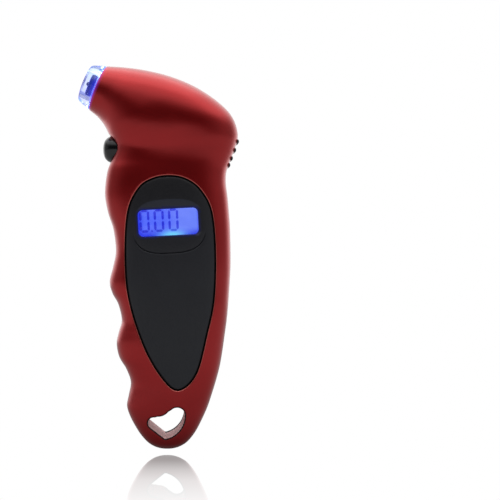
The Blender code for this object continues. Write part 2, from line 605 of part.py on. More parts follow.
# Battery bay --------------------------------------------------------------------------------
def make_batteries():
    """The coin cell with its contact, and three button cells between a spring and a plate."""
    step = COIN_THICK / 2
    lay = Matrix.Translation(COIN_CENTRE * MM) @ Matrix.Rotation(-math.pi / 2, 4, "X")
    turned("coin_cell", (
        (0, step), (9.6, step), (COIN_RADIUS, step - 0.4), (COIN_RADIUS, -step + 0.9),
        (9.0, -step + 0.5), (8.7, -step), (0, -step)), lay, STEEL, 32)
    hook = ((14.7, 2.9), (14.7, 7.1), (8.0, 7.1), (8.0, 6.7), (14.3, 6.7), (14.3, 2.9))
    mesh = curve_mesh("coin_cell_contact", hook, {"extrude": 1.7})
    place("coin_cell_contact", mesh, STEEL, Matrix.Translation((0, 0, COIN_CENTRE.z * MM)))
    for number, start in enumerate(CELL_STARTS, 1):
        lay = (Matrix.Translation(Vector((start, CELL_Y, CELL_Z)) * MM)
               @ Matrix.Rotation(math.pi / 2, 4, "Y"))
        turned(f"button_cell_{number}", (
            (0, CELL_THICK), (5.5, CELL_THICK), (CELL_RADIUS, CELL_THICK - 0.3), (CELL_RADIUS, 0.9),
            (5.0, 0.6), (4.8, 0), (0, 0)), lay, STEEL, 24)
    end = CELL_STARTS[-1] + CELL_THICK + GAP
    half = Vector((0, 4.5, 4.5))
    near, far = Vector((end, CELL_Y, CELL_Z)), Vector((end + 0.5, CELL_Y, CELL_Z))
    box("cell_plate", near - half, far + half, STEEL)
    steps = int(SPRING_TURNS * SPRING_PER_TURN)
    coil = []
    for k in range(steps + 1):
        angle, radius = math.tau * k / SPRING_PER_TURN, SPRING_WIDE - SPRING_TAPER * k / steps
        coil.append((SPRING_START + SPRING_LENGTH * k / steps, CELL_Y + radius * math.cos(angle),
                     CELL_Z + radius * math.sin(angle)))
    place("cell_spring", curve_mesh("cell_spring", coil, {"radius": SPRING_WIRE}), STEEL)


def make_door():
    door = prism("battery_door", door_outline(), 2, OUT, SHELL_RED)
    boolean(door, loft("door_crown"), "INTERSECT")
    boolean(door, loft("door_back", DOOR_THICK))
    x, z = DOOR_SCREW
    boolean(door, rod("door_screw_hole", (x, 0, z), (x, OUT, z), SHANK_RADIUS + GAP, sides=16))
    sink_floor = (x, DOOR_SCREW_SEAT - GAP, z)
    boolean(door, rod("door_screw_sink", sink_floor, (x, OUT, z), HEAD_RADIUS + GAP))
    make_screw("door_screw", x, DOOR_SCREW_SEAT, z, 6.4)


# Screws -------------------------------------------------------------------------------------
def make_screw(name, x, seat, z, length):
    """A pan-head screw along Y with a cross recess. Its head rests on `seat`."""
    matrix = Matrix.Translation(Vector((x, seat, z)) * MM) @ Matrix.Rotation(-math.pi / 2, 4, "X")
    screw = turned(name, (
        (0, 1.4), (1.3, 1.3), (HEAD_RADIUS, 0.6), (HEAD_RADIUS, 0), (SHANK_RADIUS, 0),
        (SHANK_RADIUS, -length + 0.8), (0, -length)), matrix, STEEL, 20)
    slot_floor = seat + 0.7
    for number, (a, b) in enumerate(((1.2, 0.25), (0.25, 1.2))):
        slot = box(f"{name}_slot_{number}", (x - a, slot_floor, z - b), (x + a, seat + 3, z + b))
        boolean(screw, slot)


def make_case_screws():
    for number, (x, z) in enumerate(CASE_SCREWS, 1):
        make_screw(f"case_screw_{number}", x, SEAT_Y + GAP, z, 9.4)


clear_scene()
parts = new_group(NAME)
cutters = new_group("cutters")

SHELL_RED = material("shell_red", (0.23, 0.012, 0.016), 0.42)
PANEL_BLACK = material("panel_black", (0.018, 0.02, 0.022), 0.5)
BUTTON_BLACK = material("button_black", (0.012, 0.013, 0.014), 0.25)
CLEAR = material("clear", (0.75, 0.82, 1.0), 0.08, 0.0, 0.35)
CORE_BLUE = material("core_blue", (0.02, 0.02, 0.12), 0.35)
RUBBER = material("rubber", (0.015, 0.015, 0.015), 0.8)
BRASS = material("brass", (0.6, 0.42, 0.18), 0.3, 1.0)
STEEL = material("steel", (0.6, 0.6, 0.62), 0.3, 1.0)
LCD_BLUE = material("lcd_blue", (0.1, 0.12, 0.9), 0.2)
DIFFUSER = material("diffuser", (0.8, 0.85, 0.95), 0.5)
LED_WHITE = material("led_white", (0.9, 0.95, 1.0), 0.2)
BOARD_GREEN = material("board_green", (0.02, 0.18, 0.06), 0.45)
EPOXY = material("epoxy", (0.01, 0.01, 0.01), 0.3)
CAPACITOR = material("capacitor", (0.02, 0.04, 0.2), 0.35)
SENSOR_GREY = material("sensor_grey", (0.5, 0.5, 0.48), 0.5)
SWITCH_BLACK = material("switch_black", (0.03, 0.03, 0.03), 0.5)
TUBE_GREY = material("tube_grey", (0.55, 0.55, 0.55), 0.6)
WIRE_RED = material("wire_red", (0.5, 0.02, 0.02), 0.5)
WIRE_BLACK = material("wire_black", (0.02, 0.02, 0.02), 0.5)

make_casing()
make_panel()
make_display()
make_boards()
make_nozzle()
make_sensor_tube()
make_wires()
make_button()
make_batteries()
make_door()
make_case_screws()
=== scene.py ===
"""The look of the digital tire pressure gauge: finer shells, panel, nozzle and small parts in the
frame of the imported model, with their materials, a white studio and a camera.

Shapes are worked out in millimetres, in the model's own frame: +Z up the handle, the nozzle to -X
and the display to -Y. They become metres where a mesh is made.
"""
from math import copysign, cos, pi, radians, sin, tau

import bmesh
import bpy
import numpy as np
from mathutils import Matrix, Vector
from mathutils.bvhtree import BVHTree
from mathutils.geometry import delaunay_2d_cdt


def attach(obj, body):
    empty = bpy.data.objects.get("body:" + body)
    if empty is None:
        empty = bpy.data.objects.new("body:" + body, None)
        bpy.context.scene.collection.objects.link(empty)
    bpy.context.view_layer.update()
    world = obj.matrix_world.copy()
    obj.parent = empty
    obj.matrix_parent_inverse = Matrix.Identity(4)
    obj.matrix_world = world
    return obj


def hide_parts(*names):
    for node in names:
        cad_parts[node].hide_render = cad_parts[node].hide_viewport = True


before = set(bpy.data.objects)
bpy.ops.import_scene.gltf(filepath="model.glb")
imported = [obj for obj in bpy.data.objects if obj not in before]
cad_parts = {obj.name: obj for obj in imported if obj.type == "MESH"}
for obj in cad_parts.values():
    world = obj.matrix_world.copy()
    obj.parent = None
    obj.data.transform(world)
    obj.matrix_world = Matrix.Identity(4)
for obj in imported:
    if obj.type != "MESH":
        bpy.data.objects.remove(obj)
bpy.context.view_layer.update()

MM = 0.001
CORNERS = ((1, 1), (1, -1), (-1, -1), (-1, 1))

# ---- Casing: rows of front x, z, back x, z, half thickness and squareness, from nozzle to tail
GAP, WALL, CLEAR = 0.3, 2.2, 30.0                # CLEAR is outside the casing all round
STATIONS = np.array((
    (-27.2, 132.1, -20.0, 148.9, 9.1, 2.0),
    (-24.1, 129.6, -13.2, 148.4, 10.9, 2.05),
    (-21.9, 127.0, -5.0, 147.2, 12.9, 2.1),
    (-20.5, 124.7, 4.4, 144.8, 14.6, 2.2),
    (-19.4, 122.4, 13.8, 140.9, 15.8, 2.3),
    (-18.3, 120.4, 22.5, 135.3, 16.2, 2.4),
    (-17.5, 118.6, 28.6, 129.2, 15.9, 2.45),
    (-17.2, 117.0, 31.0, 122.2, 15.0, 2.5),
    (-17.4, 115.2, 29.7, 116.4, 14.1, 2.6),
    (-18.4, 112.0, 27.8, 111.6, 13.7, 2.7),
    (-19.8, 108.2, 26.5, 107.4, 13.8, 2.8),
    (-20.6, 103.4, 26.3, 103.0, 14.0, 2.9),
    (-20.8, 98.0, 26.9, 98.0, 14.0, 3.0),
    (-19.6, 91.5, 27.5, 91.5, 14.0, 3.0),
    (-17.6, 85.3, 27.9, 85.3, 14.0, 3.0),
    (-16.6, 77.0, 28.1, 77.0, 14.0, 3.0),
    (-17.6, 71.0, 28.1, 71.0, 14.0, 3.0),
    (-19.0, 65.0, 27.8, 65.0, 14.0, 3.0),
    (-18.0, 60.5, 27.5, 60.5, 13.95, 3.0),
    (-15.6, 56.0, 27.2, 56.0, 13.85, 3.0),
    (-14.3, 49.9, 26.6, 49.9, 13.6, 3.0),
    (-15.4, 45.5, 26.0, 45.5, 13.2, 2.95),
    (-16.3, 41.0, 25.4, 41.0, 12.9, 2.9),
    (-15.3, 35.6, 24.6, 35.6, 12.3, 2.85),
    (-12.6, 31.0, 23.7, 31.0, 11.8, 2.8),
    (-10.8, 25.8, 22.3, 25.8, 11.2, 2.75),
    (-11.6, 20.6, 20.7, 20.6, 10.7, 2.7),
    (-12.3, 16.4, 19.3, 16.4, 10.1, 2.65),
    (-10.9, 12.0, 17.4, 12.0, 9.4, 2.6),
    (-8.4, 7.4, 15.1, 7.4, 8.4, 2.5),
    (-6.3, 4.4, 13.1, 4.4, 7.6, 2.4),
    (-4.2, 2.2, 11.1, 2.2, 6.5, 2.3),
    (-2.0, 0.7, 8.8, 0.7, 4.6, 2.2),
    (-0.2, 0.0, 7.0, 0.0, 3.2, 2.0)))
LAST = len(STATIONS) - 1
CAVITY_FROM, CAVITY_STEPS, CAVITY_OVERLAP = 1.0, 59, 0.6
SHELLS = (("display_shell_skin", -1), ("back_shell_skin", 1))
RIB_STATIONS, RIB_REACH, RIB_RADIUS = (7.45, 8.05, 8.7, 9.3), 0.36, 1.0
RIB_ZONE_X, RIB_ZONE_Z = 20, (105, 122)
SEAM_HALF, SEAM_DEPTH = 0.005, 0.2

# ---- Face panel, display and window
PANEL_OUTLINE = (
    (4.7, 104.7), (10.4, 103.5), (15.7, 99.6), (20.0, 91.3), (21.4, 75.0), (20.8, 58.3),
    (18.4, 46.2), (14.2, 30.3), (7.5, 24.1), (1.2, 29.5), (-5.3, 41.3), (-10.7, 58.3),
    (-12.2, 75.0), (-11.2, 91.3), (-7.1, 100.2), (-1.6, 103.8))
# Painted shade darkens the groove as well.
PANEL_SINK, PANEL_GROOVE = 1.65, 0.5             # the groove is deep, so it looks black
EYE_CENTRE, EYE_RADII, EYE_SQUARENESS = (4.15, 86.1), (13.6, 10.25), 2.8
WINDOW_CENTRE, WINDOW_SIZE, WINDOW_CORNER = (3.8, 87.6), (22.5, 9.8), 1.8
WINDOW_TILT = radians(3.0)
WINDOW_LEVEL = 13.8                              # the panel's surface round the window, from Y = 0
LENS_FACE, LENS_THICK = -13.5, 1.0
LCD_SIZE = (25.0, 14.4)
FIGURE_SIZE, FIGURE_BAR, FIGURE_CUT, FIGURE_RISE = (3.85, 8.5), 0.9, 0.16, 0.78
FIGURE_PLACES, POINT_PLACE, FIGURE_FACES = (-8.9, -3.45, 2.0), -6.2, (-12.36, -12.26)

# ---- Nozzle and button
NOZZLE_BASE = Vector((-23.6, 0.0, 140.5))
NOZZLE_TILT = radians(-66.6)
CORE_RADIUS, CORE_BORE, MOUTH_RADIUS, CAP_SPIGOT, CAP_LENGTH = 4.2, 1.5, 4.6, 7.4, 5.5
LED_OFFSET, LED_RADIUS, LEAD_HOLE_UP = 5.85, 1.0, 8.0
BUTTON_CENTRE = Vector((-17.3, 0.0, 116.5))
BUTTON_HEIGHT_RATIO = 11.0 / 12.0
BUTTON_HOLE, BUTTON_FLANGE, BUTTON_WELL = 6.4, 6.9, 7.3
BUTTON_WELL_ENDS = (-15.0, -11.0)

# ---- Battery bay, screws and lanyard eye
DOOR_CENTRE, DOOR_SIZE, DOOR_CORNER, DOOR_THICK = (3.8, 76.5), (29.6, 48.0), 4.0, 1.5
DOOR_SCREW, DOOR_SCREW_SEAT = (3.8, 96.9), 13.2
COIN_CENTRE, COIN_BAY_RADIUS = (3.8, 83.0), 10.5
CASE_SCREWS = ((6.0, 24.0), (6.5, 45.5), (-10.5, 104.0), (20.5, 121.5))
BOSS_RADIUS, WELL_RADIUS, SEAT_Y, SHANK_RADIUS, HEAD_RADIUS = 3.3, 2.5, 4.0, 0.9, 2.1
EYELET_ARCS = (
    (-1.6, 10.8, 2.35, 222.0, 82.0), (-0.1, 18.5, 5.05, 268.0, 322.0),
    (7.2, 14.0, 3.0, 135.0, 1.3), (0.7, 13.85, 9.5, -8.0, -66.0), (2.9, 5.95, 1.3, -74.4, -128.0))
EYELET_WALL, EYELET_FLARE = 1.6, 0.8

# ---- Studio
FLOOR_DROP, FLOOR_RADIUS = 0.00195, 1.6          # the studio is in metres
LIGHT_SPOT, LIGHT_AIM = Vector((0.0, 0.04, 0.62)), Vector((0.0, 0.0, 0.14))
SIDE_SHIFT = 0.07                                # the sky is a little dimmer on the left
CAMERA_SPOT, CAMERA_LENS, CAMERA_SHIFT = (0.0045, -0.3407, 0.0752), 62.6, (0.16, 0.01)


# ---- Meshes
def place(name, shape, matrix=None):
    """A new object from a bmesh in metres, with its faces turned outwards."""
    bmesh.ops.recalc_face_normals(shape, faces=shape.faces)
    mesh = bpy.data.meshes.new(name)
    shape.to_mesh(mesh)
    shape.free()
    item = bpy.data.objects.new(name, mesh)
    bpy.context.scene.collection.objects.link(item)
    if matrix:
        mesh.transform(matrix)
    return item


def spun(k, count, radius=1.0):
    """Point k of count round a circle."""
    return radius * cos(tau * k / count), radius * sin(tau * k / count)


def stack(name, rings, floor=None):
    """A closed solid through rings of points. A floor of (points, faces) closes the first one."""
    shape = bmesh.new()
    loops = [[shape.verts.new(Vector(p) * MM) for p in ring] for ring in rings]
    count = len(rings[0])
    for loop, after in zip(loops, loops[1:]):
        for k in range(count):
            n = (k + 1) % count
            shape.faces.new((loop[k], loop[n], after[n], after[k]))
    shape.faces.new(loops[-1])
    if floor:
        verts = [shape.verts.new(Vector(p) * MM) for p in floor[0]]
        for face in floor[1]:
            shape.faces.new([verts[i] for i in face])
        bmesh.ops.remove_doubles(shape, verts=shape.verts, dist=1e-7)
    else:
        shape.faces.new(loops[0])
    return place(name, shape)


def box(name, low, high):
    low, high = Vector(low), Vector(high)
    corners = [(low.x, low.z), (high.x, low.z), (high.x, high.z), (low.x, high.z)]
    return stack(name, [[(x, y, z) for x, z in corners] for y in (low.y, high.y)])


def rod(name, start, end, radius, sides=48):
    start, end = Vector(start), Vector(end)
    turn = (end - start).to_track_quat("Z", "Y").to_matrix()
    ring = [turn @ Vector((*spun(k, sides, radius), 0)) for k in range(sides)]
    return stack(name, [[start + p for p in ring], [end + p for p in ring]])


def tube(name, path, radii, sides=16):
    """A bar along a path with its own radius at each point."""
    circle_points = [spun(k, sides) for k in range(sides)]
    side, rings = None, []
    for i, spot in enumerate(path):
        along = (path[min(i + 1, len(path) - 1)] - path[max(i - 1, 0)]).normalized()
        side = (along.orthogonal() if side is None else side - along * side.dot(along)).normalized()
        other = along.cross(side)
        rings.append([spot + (side * c + other * s) * radii[i] for c, s in circle_points])
    return stack(name, rings)


def lathe(name, profile, matrix, steps, closed=False):
    """A profile of (radius, height) turned round local Z. A closed one is a ring."""
    shape = bmesh.new()
    rows = []
    for radius, height in profile:
        if radius < 1e-6:
            rows.append([shape.verts.new((0, 0, height * MM))] * steps)
        else:
            circle_points = [spun(k, steps, radius) for k in range(steps)]
            rows.append([shape.verts.new((x * MM, y * MM, height * MM)) for x, y in circle_points])
    pairs = list(zip(rows, rows[1:])) + ([(rows[-1], rows[0])] if closed else [])
    for row, after in pairs:
        for k in range(steps):
            n = (k + 1) % steps
            corners = list(dict.fromkeys((row[k], row[n], after[n], after[k])))
            shape.faces.new(corners)
    return place(name, shape, matrix)


def carve(target, *tools, operation="DIFFERENCE"):
    """Applies a Boolean with each tool and removes the tools."""
    for tool in tools:
        step = target.modifiers.new("cut", "BOOLEAN")
        step.object, step.operation, step.solver = tool, operation, "MANIFOLD"
    seen = target.evaluated_get(bpy.context.evaluated_depsgraph_get())
    mesh = bpy.data.meshes.new_from_object(seen)
    target.modifiers.clear()
    target.data = mesh
    for tool in tools:
        bpy.data.objects.remove(tool, do_unlink=True)


def rounded_profile(profile, radius, per=5):
    """The profile with its inner corners rounded, each by at most 45 % of its shorter side."""
    spots = [Vector(p) for p in profile]
    found = [spots[0]]
    for before, spot, after in zip(spots, spots[1:], spots[2:]):
        reach = min(radius, 0.45 * (before - spot).length, 0.45 * (after - spot).length)
        a = spot + (before - spot).normalized() * reach
        b = spot + (after - spot).normalized() * reach
        for k in range(per + 1):
            t = k / per
            found.append(a * (1 - t) ** 2 + spot * 2 * t * (1 - t) + b * t * t)
    return found + [spots[-1]]


# ---- Outlines in X and Z
def between(a, b, c, d, t):
    """The Catmull-Rom curve from b to c, at the share t of the way."""
    return 0.5 * (2 * b + (c - a) * t + (2 * a - 5 * b + 4 * c - d) * t ** 2
                  + (3 * b - a - 3 * c + d) * t ** 3)


def square_reach(across, aside, power):
    """How far a superellipse with half axes of 1 reaches along a direction."""
    return (abs(across) ** power + abs(aside) ** power) ** (-1 / power)


def smooth(points, per):
    """A closed Catmull-Rom curve through the points."""
    spots = [Vector(p) for p in points]
    count, found = len(spots), []
    for i in range(count):
        near = [spots[(i + k) % count] for k in (-1, 0, 1, 2)]
        found += [between(*near, k / per) for k in range(per)]
    return found


def grown(outline, reach):
    """A clockwise outline moved out by `reach` along its normals."""
    count, found = len(outline), []
    for i, spot in enumerate(outline):
        along = (outline[(i + 1) % count] - outline[i - 1]).normalized()
        found.append(spot + Vector((-along.y, along.x)) * reach)
    return found


def rounded_rectangle(centre, size, corner, tilt=0.0, per=8, step=0.6):
    """Clockwise from the top right corner, with points along its straight sides too."""
    half = Vector(size) / 2 - Vector((corner, corner))
    turn = Matrix.Rotation(tilt, 2)

    def corner_spot(number, degrees):
        sx, sz = CORNERS[number % 4]
        angle = radians(degrees)
        return Vector((sx * half.x + corner * cos(angle), sz * half.y + corner * sin(angle)))

    spots = []
    for number in range(4):
        spots += [corner_spot(number, 90 - 90 * number - 90 * k / per) for k in range(per + 1)]
        start, end = spots[-1], corner_spot(number + 1, -90 * number)
        parts = max(1, round((end - start).length / step))
        spots += [start.lerp(end, k / parts) for k in range(1, parts)]
    return [Vector(centre) + turn @ p for p in spots]


def circle(centre, radius, sides=40):
    """Clockwise from the top."""
    return [Vector(centre) + Vector(spun(k, sides, radius)[::-1]) for k in range(sides)]


def eyelet_outline(reach=0.0, per=14):
    """The lanyard eye, moved out by `reach`, with each corner between two arcs joined by a line."""
    found = []
    for x, z, radius, start, end in EYELET_ARCS:
        size = radius + (reach if start > end else -reach)
        for k in range(per + 1):
            angle = radians(start + (end - start) * k / per)
            found.append(Vector((x + size * cos(angle), z + size * sin(angle))))
    return found


def inside(points, loop):
    odd = np.zeros(len(points), bool)
    x, z = points.T
    for (ax, az), (bx, bz) in zip(loop, np.roll(loop, -1, 0)):
        if abs(bz - az) > 1e-12:
            odd ^= ((az > z) != (bz > z)) & (x < (bx - ax) * (z - az) / (bz - az) + ax)
    return odd


def distance(points, loop):
    best = np.full(len(points), 1e9)
    for p, q in zip(loop, np.roll(loop, -1, 0)):
        along = q - p
        t = np.clip((points - p) @ along / max(along @ along, 1e-12), 0, 1)
        best = np.minimum(best, np.hypot(*(points - p - t[:, None] * along).T))
    return best


def fill(border, spacing, holes=(), guides=()):
    """Points and triangles over the border less the holes, with edges along the guides."""
    loops = [np.array(loop) for loop in (border, *holes, *guides)]
    low, high = loops[0].min(0), loops[0].max(0)
    grid = []
    for number, z in enumerate(np.arange(low[1], high[1], spacing * 0.866)):
        row = np.arange(low[0] + spacing / 2 * (number % 2), high[0], spacing)
        grid.append(np.column_stack((row, np.full(len(row), z))))
    grid = np.concatenate(grid)
    keep = inside(grid, loops[0])
    for loop in loops[1:1 + len(holes)]:
        keep &= ~inside(grid, loop)
    for loop in loops:
        keep &= distance(grid, loop) > spacing * 0.55
    points, edges = [], []
    for loop in loops:
        start, count = len(points), len(loop)
        points += [Vector(p) for p in loop]
        edges += [(start + k, start + (k + 1) % count) for k in range(count)]
    points += [Vector(p) for p in grid[keep]]
    spots, _, faces, *_ = delaunay_2d_cdt(points, edges, [], 0, 1e-6)
    spots = np.array([tuple(p) for p in spots])
    middles = np.array([spots[list(face)].mean(0) for face in faces])
    good = inside(middles, loops[0])
    for loop in loops[1:1 + len(holes)]:
        good &= ~inside(middles, loop)
    return spots, [tuple(face) for face, yes in zip(faces, good) if yes]


# ---- The casing's form
def station(where):
    low = min(int(where), LAST - 1)
    near = [STATIONS[min(max(low + k, 0), LAST)] for k in (-1, 0, 1, 2)]
    return between(*near, where - low)


TABLE = np.array([station(k / 24) for k in range(LAST * 24 + 1)])


def thickness(points):
    """Half the casing's thickness at points of X and Z."""
    found = []
    for chunk in np.array_split(np.asarray(points, float), max(1, len(points) // 1500)):
        front, back = TABLE[:, None, 0:2], TABLE[:, None, 2:4]
        span, reach = back - front, chunk[None] - front
        turn = span[..., 0] * reach[..., 1] - span[..., 1] * reach[..., 0]
        high = np.clip(np.argmax(turn > 0, axis=0), 1, len(TABLE) - 1)
        column = np.arange(len(chunk))
        a, b = turn[high - 1, column], turn[high, column]
        part = np.clip(-a / np.where(abs(b - a) < 1e-9, 1e-9, b - a), 0, 1)[:, None]
        row = TABLE[high - 1] * (1 - part) + TABLE[high] * part
        span = row[:, 2:4] - row[:, 0:2]
        across = 2 * ((chunk - row[:, 0:2]) * span).sum(1) / (span ** 2).sum(1) - 1
        power = row[:, 5]
        found.append(row[:, 4] * np.clip(1 - np.abs(across) ** power, 0, 1) ** (1 / power))
    return np.concatenate(found)


def section_point(values, angle, side, inset=0.0):
    """A point of a section by its direction: 0 is the back outline, and pi is the front outline."""
    front, back = Vector((values[0], 0, values[1])), Vector((values[2], 0, values[3]))
    middle, half = (front + back) / 2, (back - front) / 2
    half *= 1 - inset / half.length
    across, aside, power = cos(angle), sin(angle), values[5]
    size = square_reach(across, aside, power)
    return middle + half * across * size + Vector((0, side * (values[4] - inset) * aside * size, 0))


def half_form(name, side, places, angles, inset=0.0, seam=SEAM_HALF, seam_depth=SEAM_DEPTH):
    """Half of the casing's form as a solid, flat along its middle. Places are (station, inset)."""
    rings = []
    for where, more in places:
        values = station(where)
        ring = [section_point(values, angle, side, inset + more) for angle in angles]
        for end, angle in ((0, 0.0), (-1, pi)):
            ring[end] = section_point(values, angle, side, inset + more + seam_depth)
            ring[end].y = side * seam
        rings.append(ring)
    return stack(name, rings)


def nozzle_matrix(up=0.0):
    """Local +Z runs out along the nozzle, in metres, from the casing's nozzle face."""
    return (Matrix.Translation(NOZZLE_BASE * MM) @ Matrix.Rotation(NOZZLE_TILT, 4, "Y")
            @ Matrix.Translation(Vector((up, 0, 0)) * MM))


def along_nozzle(out, up=0.0):
    return NOZZLE_BASE + Matrix.Rotation(NOZZLE_TILT, 3, "Y") @ Vector((up, 0, out))


def raised(outline, height, side, from_surface=True):
    """The outline at a height above the casing's surface, or above Y = 0."""
    heights = [height] * len(outline)
    if from_surface:
        heights = thickness([tuple(p) for p in outline]) + height
    return [Vector((p[0], side * h, p[1])) for p, h in zip(outline, heights)]


def mouth(radius):
    """How far out and how deep a rounded mouth is, from its wall up to near the surface."""
    turns = [radians(14 * k) for k in range(6)]
    return [(radius * (1 - cos(turn)), radius * (1 - sin(turn))) for turn in turns]


def flared(name, outline_at, side, radius, start=None, floor_depth=None):
    """A cutter with straight walls, and a mouth that opens in a curve at the casing's surface.

    It starts at Y = start, or at a floor that follows the surface at floor_depth.
    """
    inner, floor = outline_at(0.0), None
    if floor_depth is None:
        rings = [raised(inner, start, side, False)]
    else:
        spots, faces = fill(inner, 1.6)
        floor = raised(spots, -floor_depth, side), faces
        rings = [raised(inner, -floor_depth, side)]
    rings += [raised(outline_at(out), -depth, side) for out, depth in mouth(radius)]
    ring = outline_at(radius * 1.4)
    rings += [raised(ring, radius * 0.2, side), raised(ring, CLEAR, side, False)]
    return stack(name, rings, floor)


def button_cutter(bvh):
    """The button's hole, with its rounded mouth on the casing's front."""
    sides, radius = 64, 0.9

    def ring(size, x=None, depth=0.0):
        spots = []
        for k in range(sides):
            y, rise = spun(k, sides, size)
            z = BUTTON_CENTRE.z + rise * BUTTON_HEIGHT_RATIO
            clear_of_seam = copysign(max(abs(y), 0.4), y)
            hit = bvh.ray_cast(Vector((-60, clear_of_seam, z)) * MM, Vector((1, 0, 0)))[0]
            spots.append(Vector((hit.x / MM + depth if x is None else x, y, z)))
        return spots

    rings = [ring(BUTTON_HOLE, x=-12.5)]
    rings += [ring(BUTTON_HOLE + out, depth=depth) for out, depth in mouth(radius)]
    wide = BUTTON_HOLE + radius * 1.3
    return stack("button_hole", rings + [ring(wide, depth=-radius * 0.25), ring(wide, x=-40.0)])


def squashed(item):
    """Makes a thing at the button a little lower than wide."""
    centre = Matrix.Translation(BUTTON_CENTRE * MM)
    shrink = Matrix.Diagonal((1, 1, BUTTON_HEIGHT_RATIO, 1))
    item.data.transform(centre @ shrink @ centre.inverted())
    return item


def bore(name, start, end, radius):
    return rod(name, along_nozzle(start), along_nozzle(end), radius, 64)


def rod_along_y(name, spot, low, high, radius, sides):
    """A rod along Y."""
    return rod(name, (spot[0], low, spot[1]), (spot[0], high, spot[1]), radius, sides)


def prism(name, outline, low, high):
    return stack(name, [[(p[0], y, p[1]) for p in outline] for y in (low, high)])


def lcd_space(name, low, high):
    """The room of the display, with its gap."""
    size = Vector(LCD_SIZE) + Vector((2 * GAP, 2 * GAP))
    return prism(name, rounded_rectangle(WINDOW_CENTRE, size, 1.0, WINDOW_TILT), low, high)


def make_rib(values, side, steps=12):
    """Half of a rib on the back of the head, which thins out to its end."""
    path = [section_point(values, RIB_REACH * k / steps, side, 0.25) for k in range(steps + 1)]
    path[0].y = side * SEAM_HALF
    thinning = [max(1 - (k / steps) ** 5, 0.04) ** 0.5 for k in range(steps + 1)]
    return tube("rib", path, [RIB_RADIUS * share for share in thinning])


def make_shells():
    """Both halves of the casing, hollow, with their pockets, bays, bosses and ribs."""
    fine = ([0.0, 0.02, 0.05] + [0.05 + (pi - 0.1) * k / 84 for k in range(1, 84)]
            + [pi - 0.05, pi - 0.02, pi])
    places = [(0.0, 0.5), (0.01, 0.24), (0.03, 0.12), (0.065, 0.03), (0.11, 0.0)]
    places += [(k / 6, 0.0) for k in range(1, LAST * 6 + 1)]
    coarse = [pi * k / 14 for k in range(15)]
    hollow = [(CAVITY_FROM + k / 2, 0.0) for k in range(CAVITY_STEPS)]
    panel = smooth(PANEL_OUTLINE, 10)
    door = rounded_rectangle(DOOR_CENTRE, DOOR_SIZE, DOOR_CORNER, step=1.2)
    shells = {side: half_form(name, side, places, fine) for name, side in SHELLS}
    whole = bmesh.new()
    for shell in shells.values():
        whole.from_mesh(shell.data)
    bvh = BVHTree.FromBMesh(whole)
    whole.free()
    for name, side in SHELLS:
        shell = shells[side]
        carve(shell, *(make_rib(station(where), side) for where in RIB_STATIONS), operation="UNION")
        cavity = half_form("cavity", side, hollow, coarse, WALL, -CAVITY_OVERLAP, 0.0)
        blocks = [prism("eyelet_block", eyelet_outline(EYELET_WALL, 6), -CLEAR, CLEAR),
                  bore("bulkhead", -12.6, -10.3, 14.0)]
        blocks += [rod_along_y("boss", spot, -20, 20, BOSS_RADIUS, 32) for spot in CASE_SCREWS]
        if side > 0:
            blocks.append(box("cell_block", (-11.2, -5.2, 51.8), (18.8, 25, 69.0)))
            blocks.append(box("coin_block", (-11.2, 1.2, 68.7), (18.8, 25, 99.6)))
        carve(cavity, *blocks)
        leads = [along_nozzle(out, LEAD_HOLE_UP) for out in (-14.0, -6.0)]
        well = [(x, 0, BUTTON_CENTRE.z) for x in BUTTON_WELL_ENDS]
        cuts = [cavity, flared("eyelet", eyelet_outline, side, EYELET_FLARE, -2.0),
                bore("nozzle_hole", -3.3, 3.0, CAP_SPIGOT + GAP),
                bore("light_chamber", -10.2, 0.0, CAP_SPIGOT - 0.2),
                bore("core_hole", -14.0, 0.0, CORE_RADIUS + GAP), rod("lead_hole", *leads, 2.5, 24),
                button_cutter(bvh), squashed(rod("button_well", *well, BUTTON_WELL))]
        screw_hole = SHANK_RADIUS + GAP
        if side < 0:
            cuts.append(flared("panel_pocket", lambda reach: grown(panel, PANEL_GROOVE + reach), side,
                               0.45, floor_depth=PANEL_SINK))
            cuts.append(lcd_space("lcd_opening", -20, -8))
            cuts += [rod_along_y("pilot", spot, -6, 1, screw_hole, 24) for spot in CASE_SCREWS]
        else:
            cuts.append(flared("door_pocket", lambda reach: grown(door, GAP + reach), side, 0.3,
                               floor_depth=DOOR_THICK + GAP))
            cuts.append(box("cell_bay", (-6.8, -3.9, 55.0), (15.8, 25, 67.2)))
            cuts.append(rod_along_y("coin_bay", COIN_CENTRE, 2.6, 25, COIN_BAY_RADIUS, 96))
            cuts.append(box("contact_slot", (12.0, 2.6, 80.9), (16.4, 25, 85.1)))
            cuts.append(rod_along_y("door_pilot", DOOR_SCREW, 4, 20, screw_hole, 24))
            cuts += [rod_along_y("shank", spot, -1, 6, screw_hole, 24) for spot in CASE_SCREWS]
            cuts += [flared("well", lambda reach, spot=spot: circle(spot, WELL_RADIUS + reach),
                            side, 0.4, SEAT_Y) for spot in CASE_SCREWS]
        carve(shell, *cuts)
        mark_shell(shell, side, np.array(grown(panel, PANEL_GROOVE)), bvh)
        finish(shell, "shell_red", "casing", name.removesuffix("_skin"), angle=32)


def mark(item, **masks):
    """Stores a value from 0 to 1 on each vertex for the item's material."""
    for name, values in masks.items():
        made = item.data.attributes.new(name, "FLOAT", "POINT")
        made.data.foreach_set("value", np.clip(values, 0, 1))


def spots_of(item):
    spots = np.empty(len(item.data.vertices) * 3)
    item.data.vertices.foreach_get("co", spots)
    return spots.reshape(-1, 3) / MM


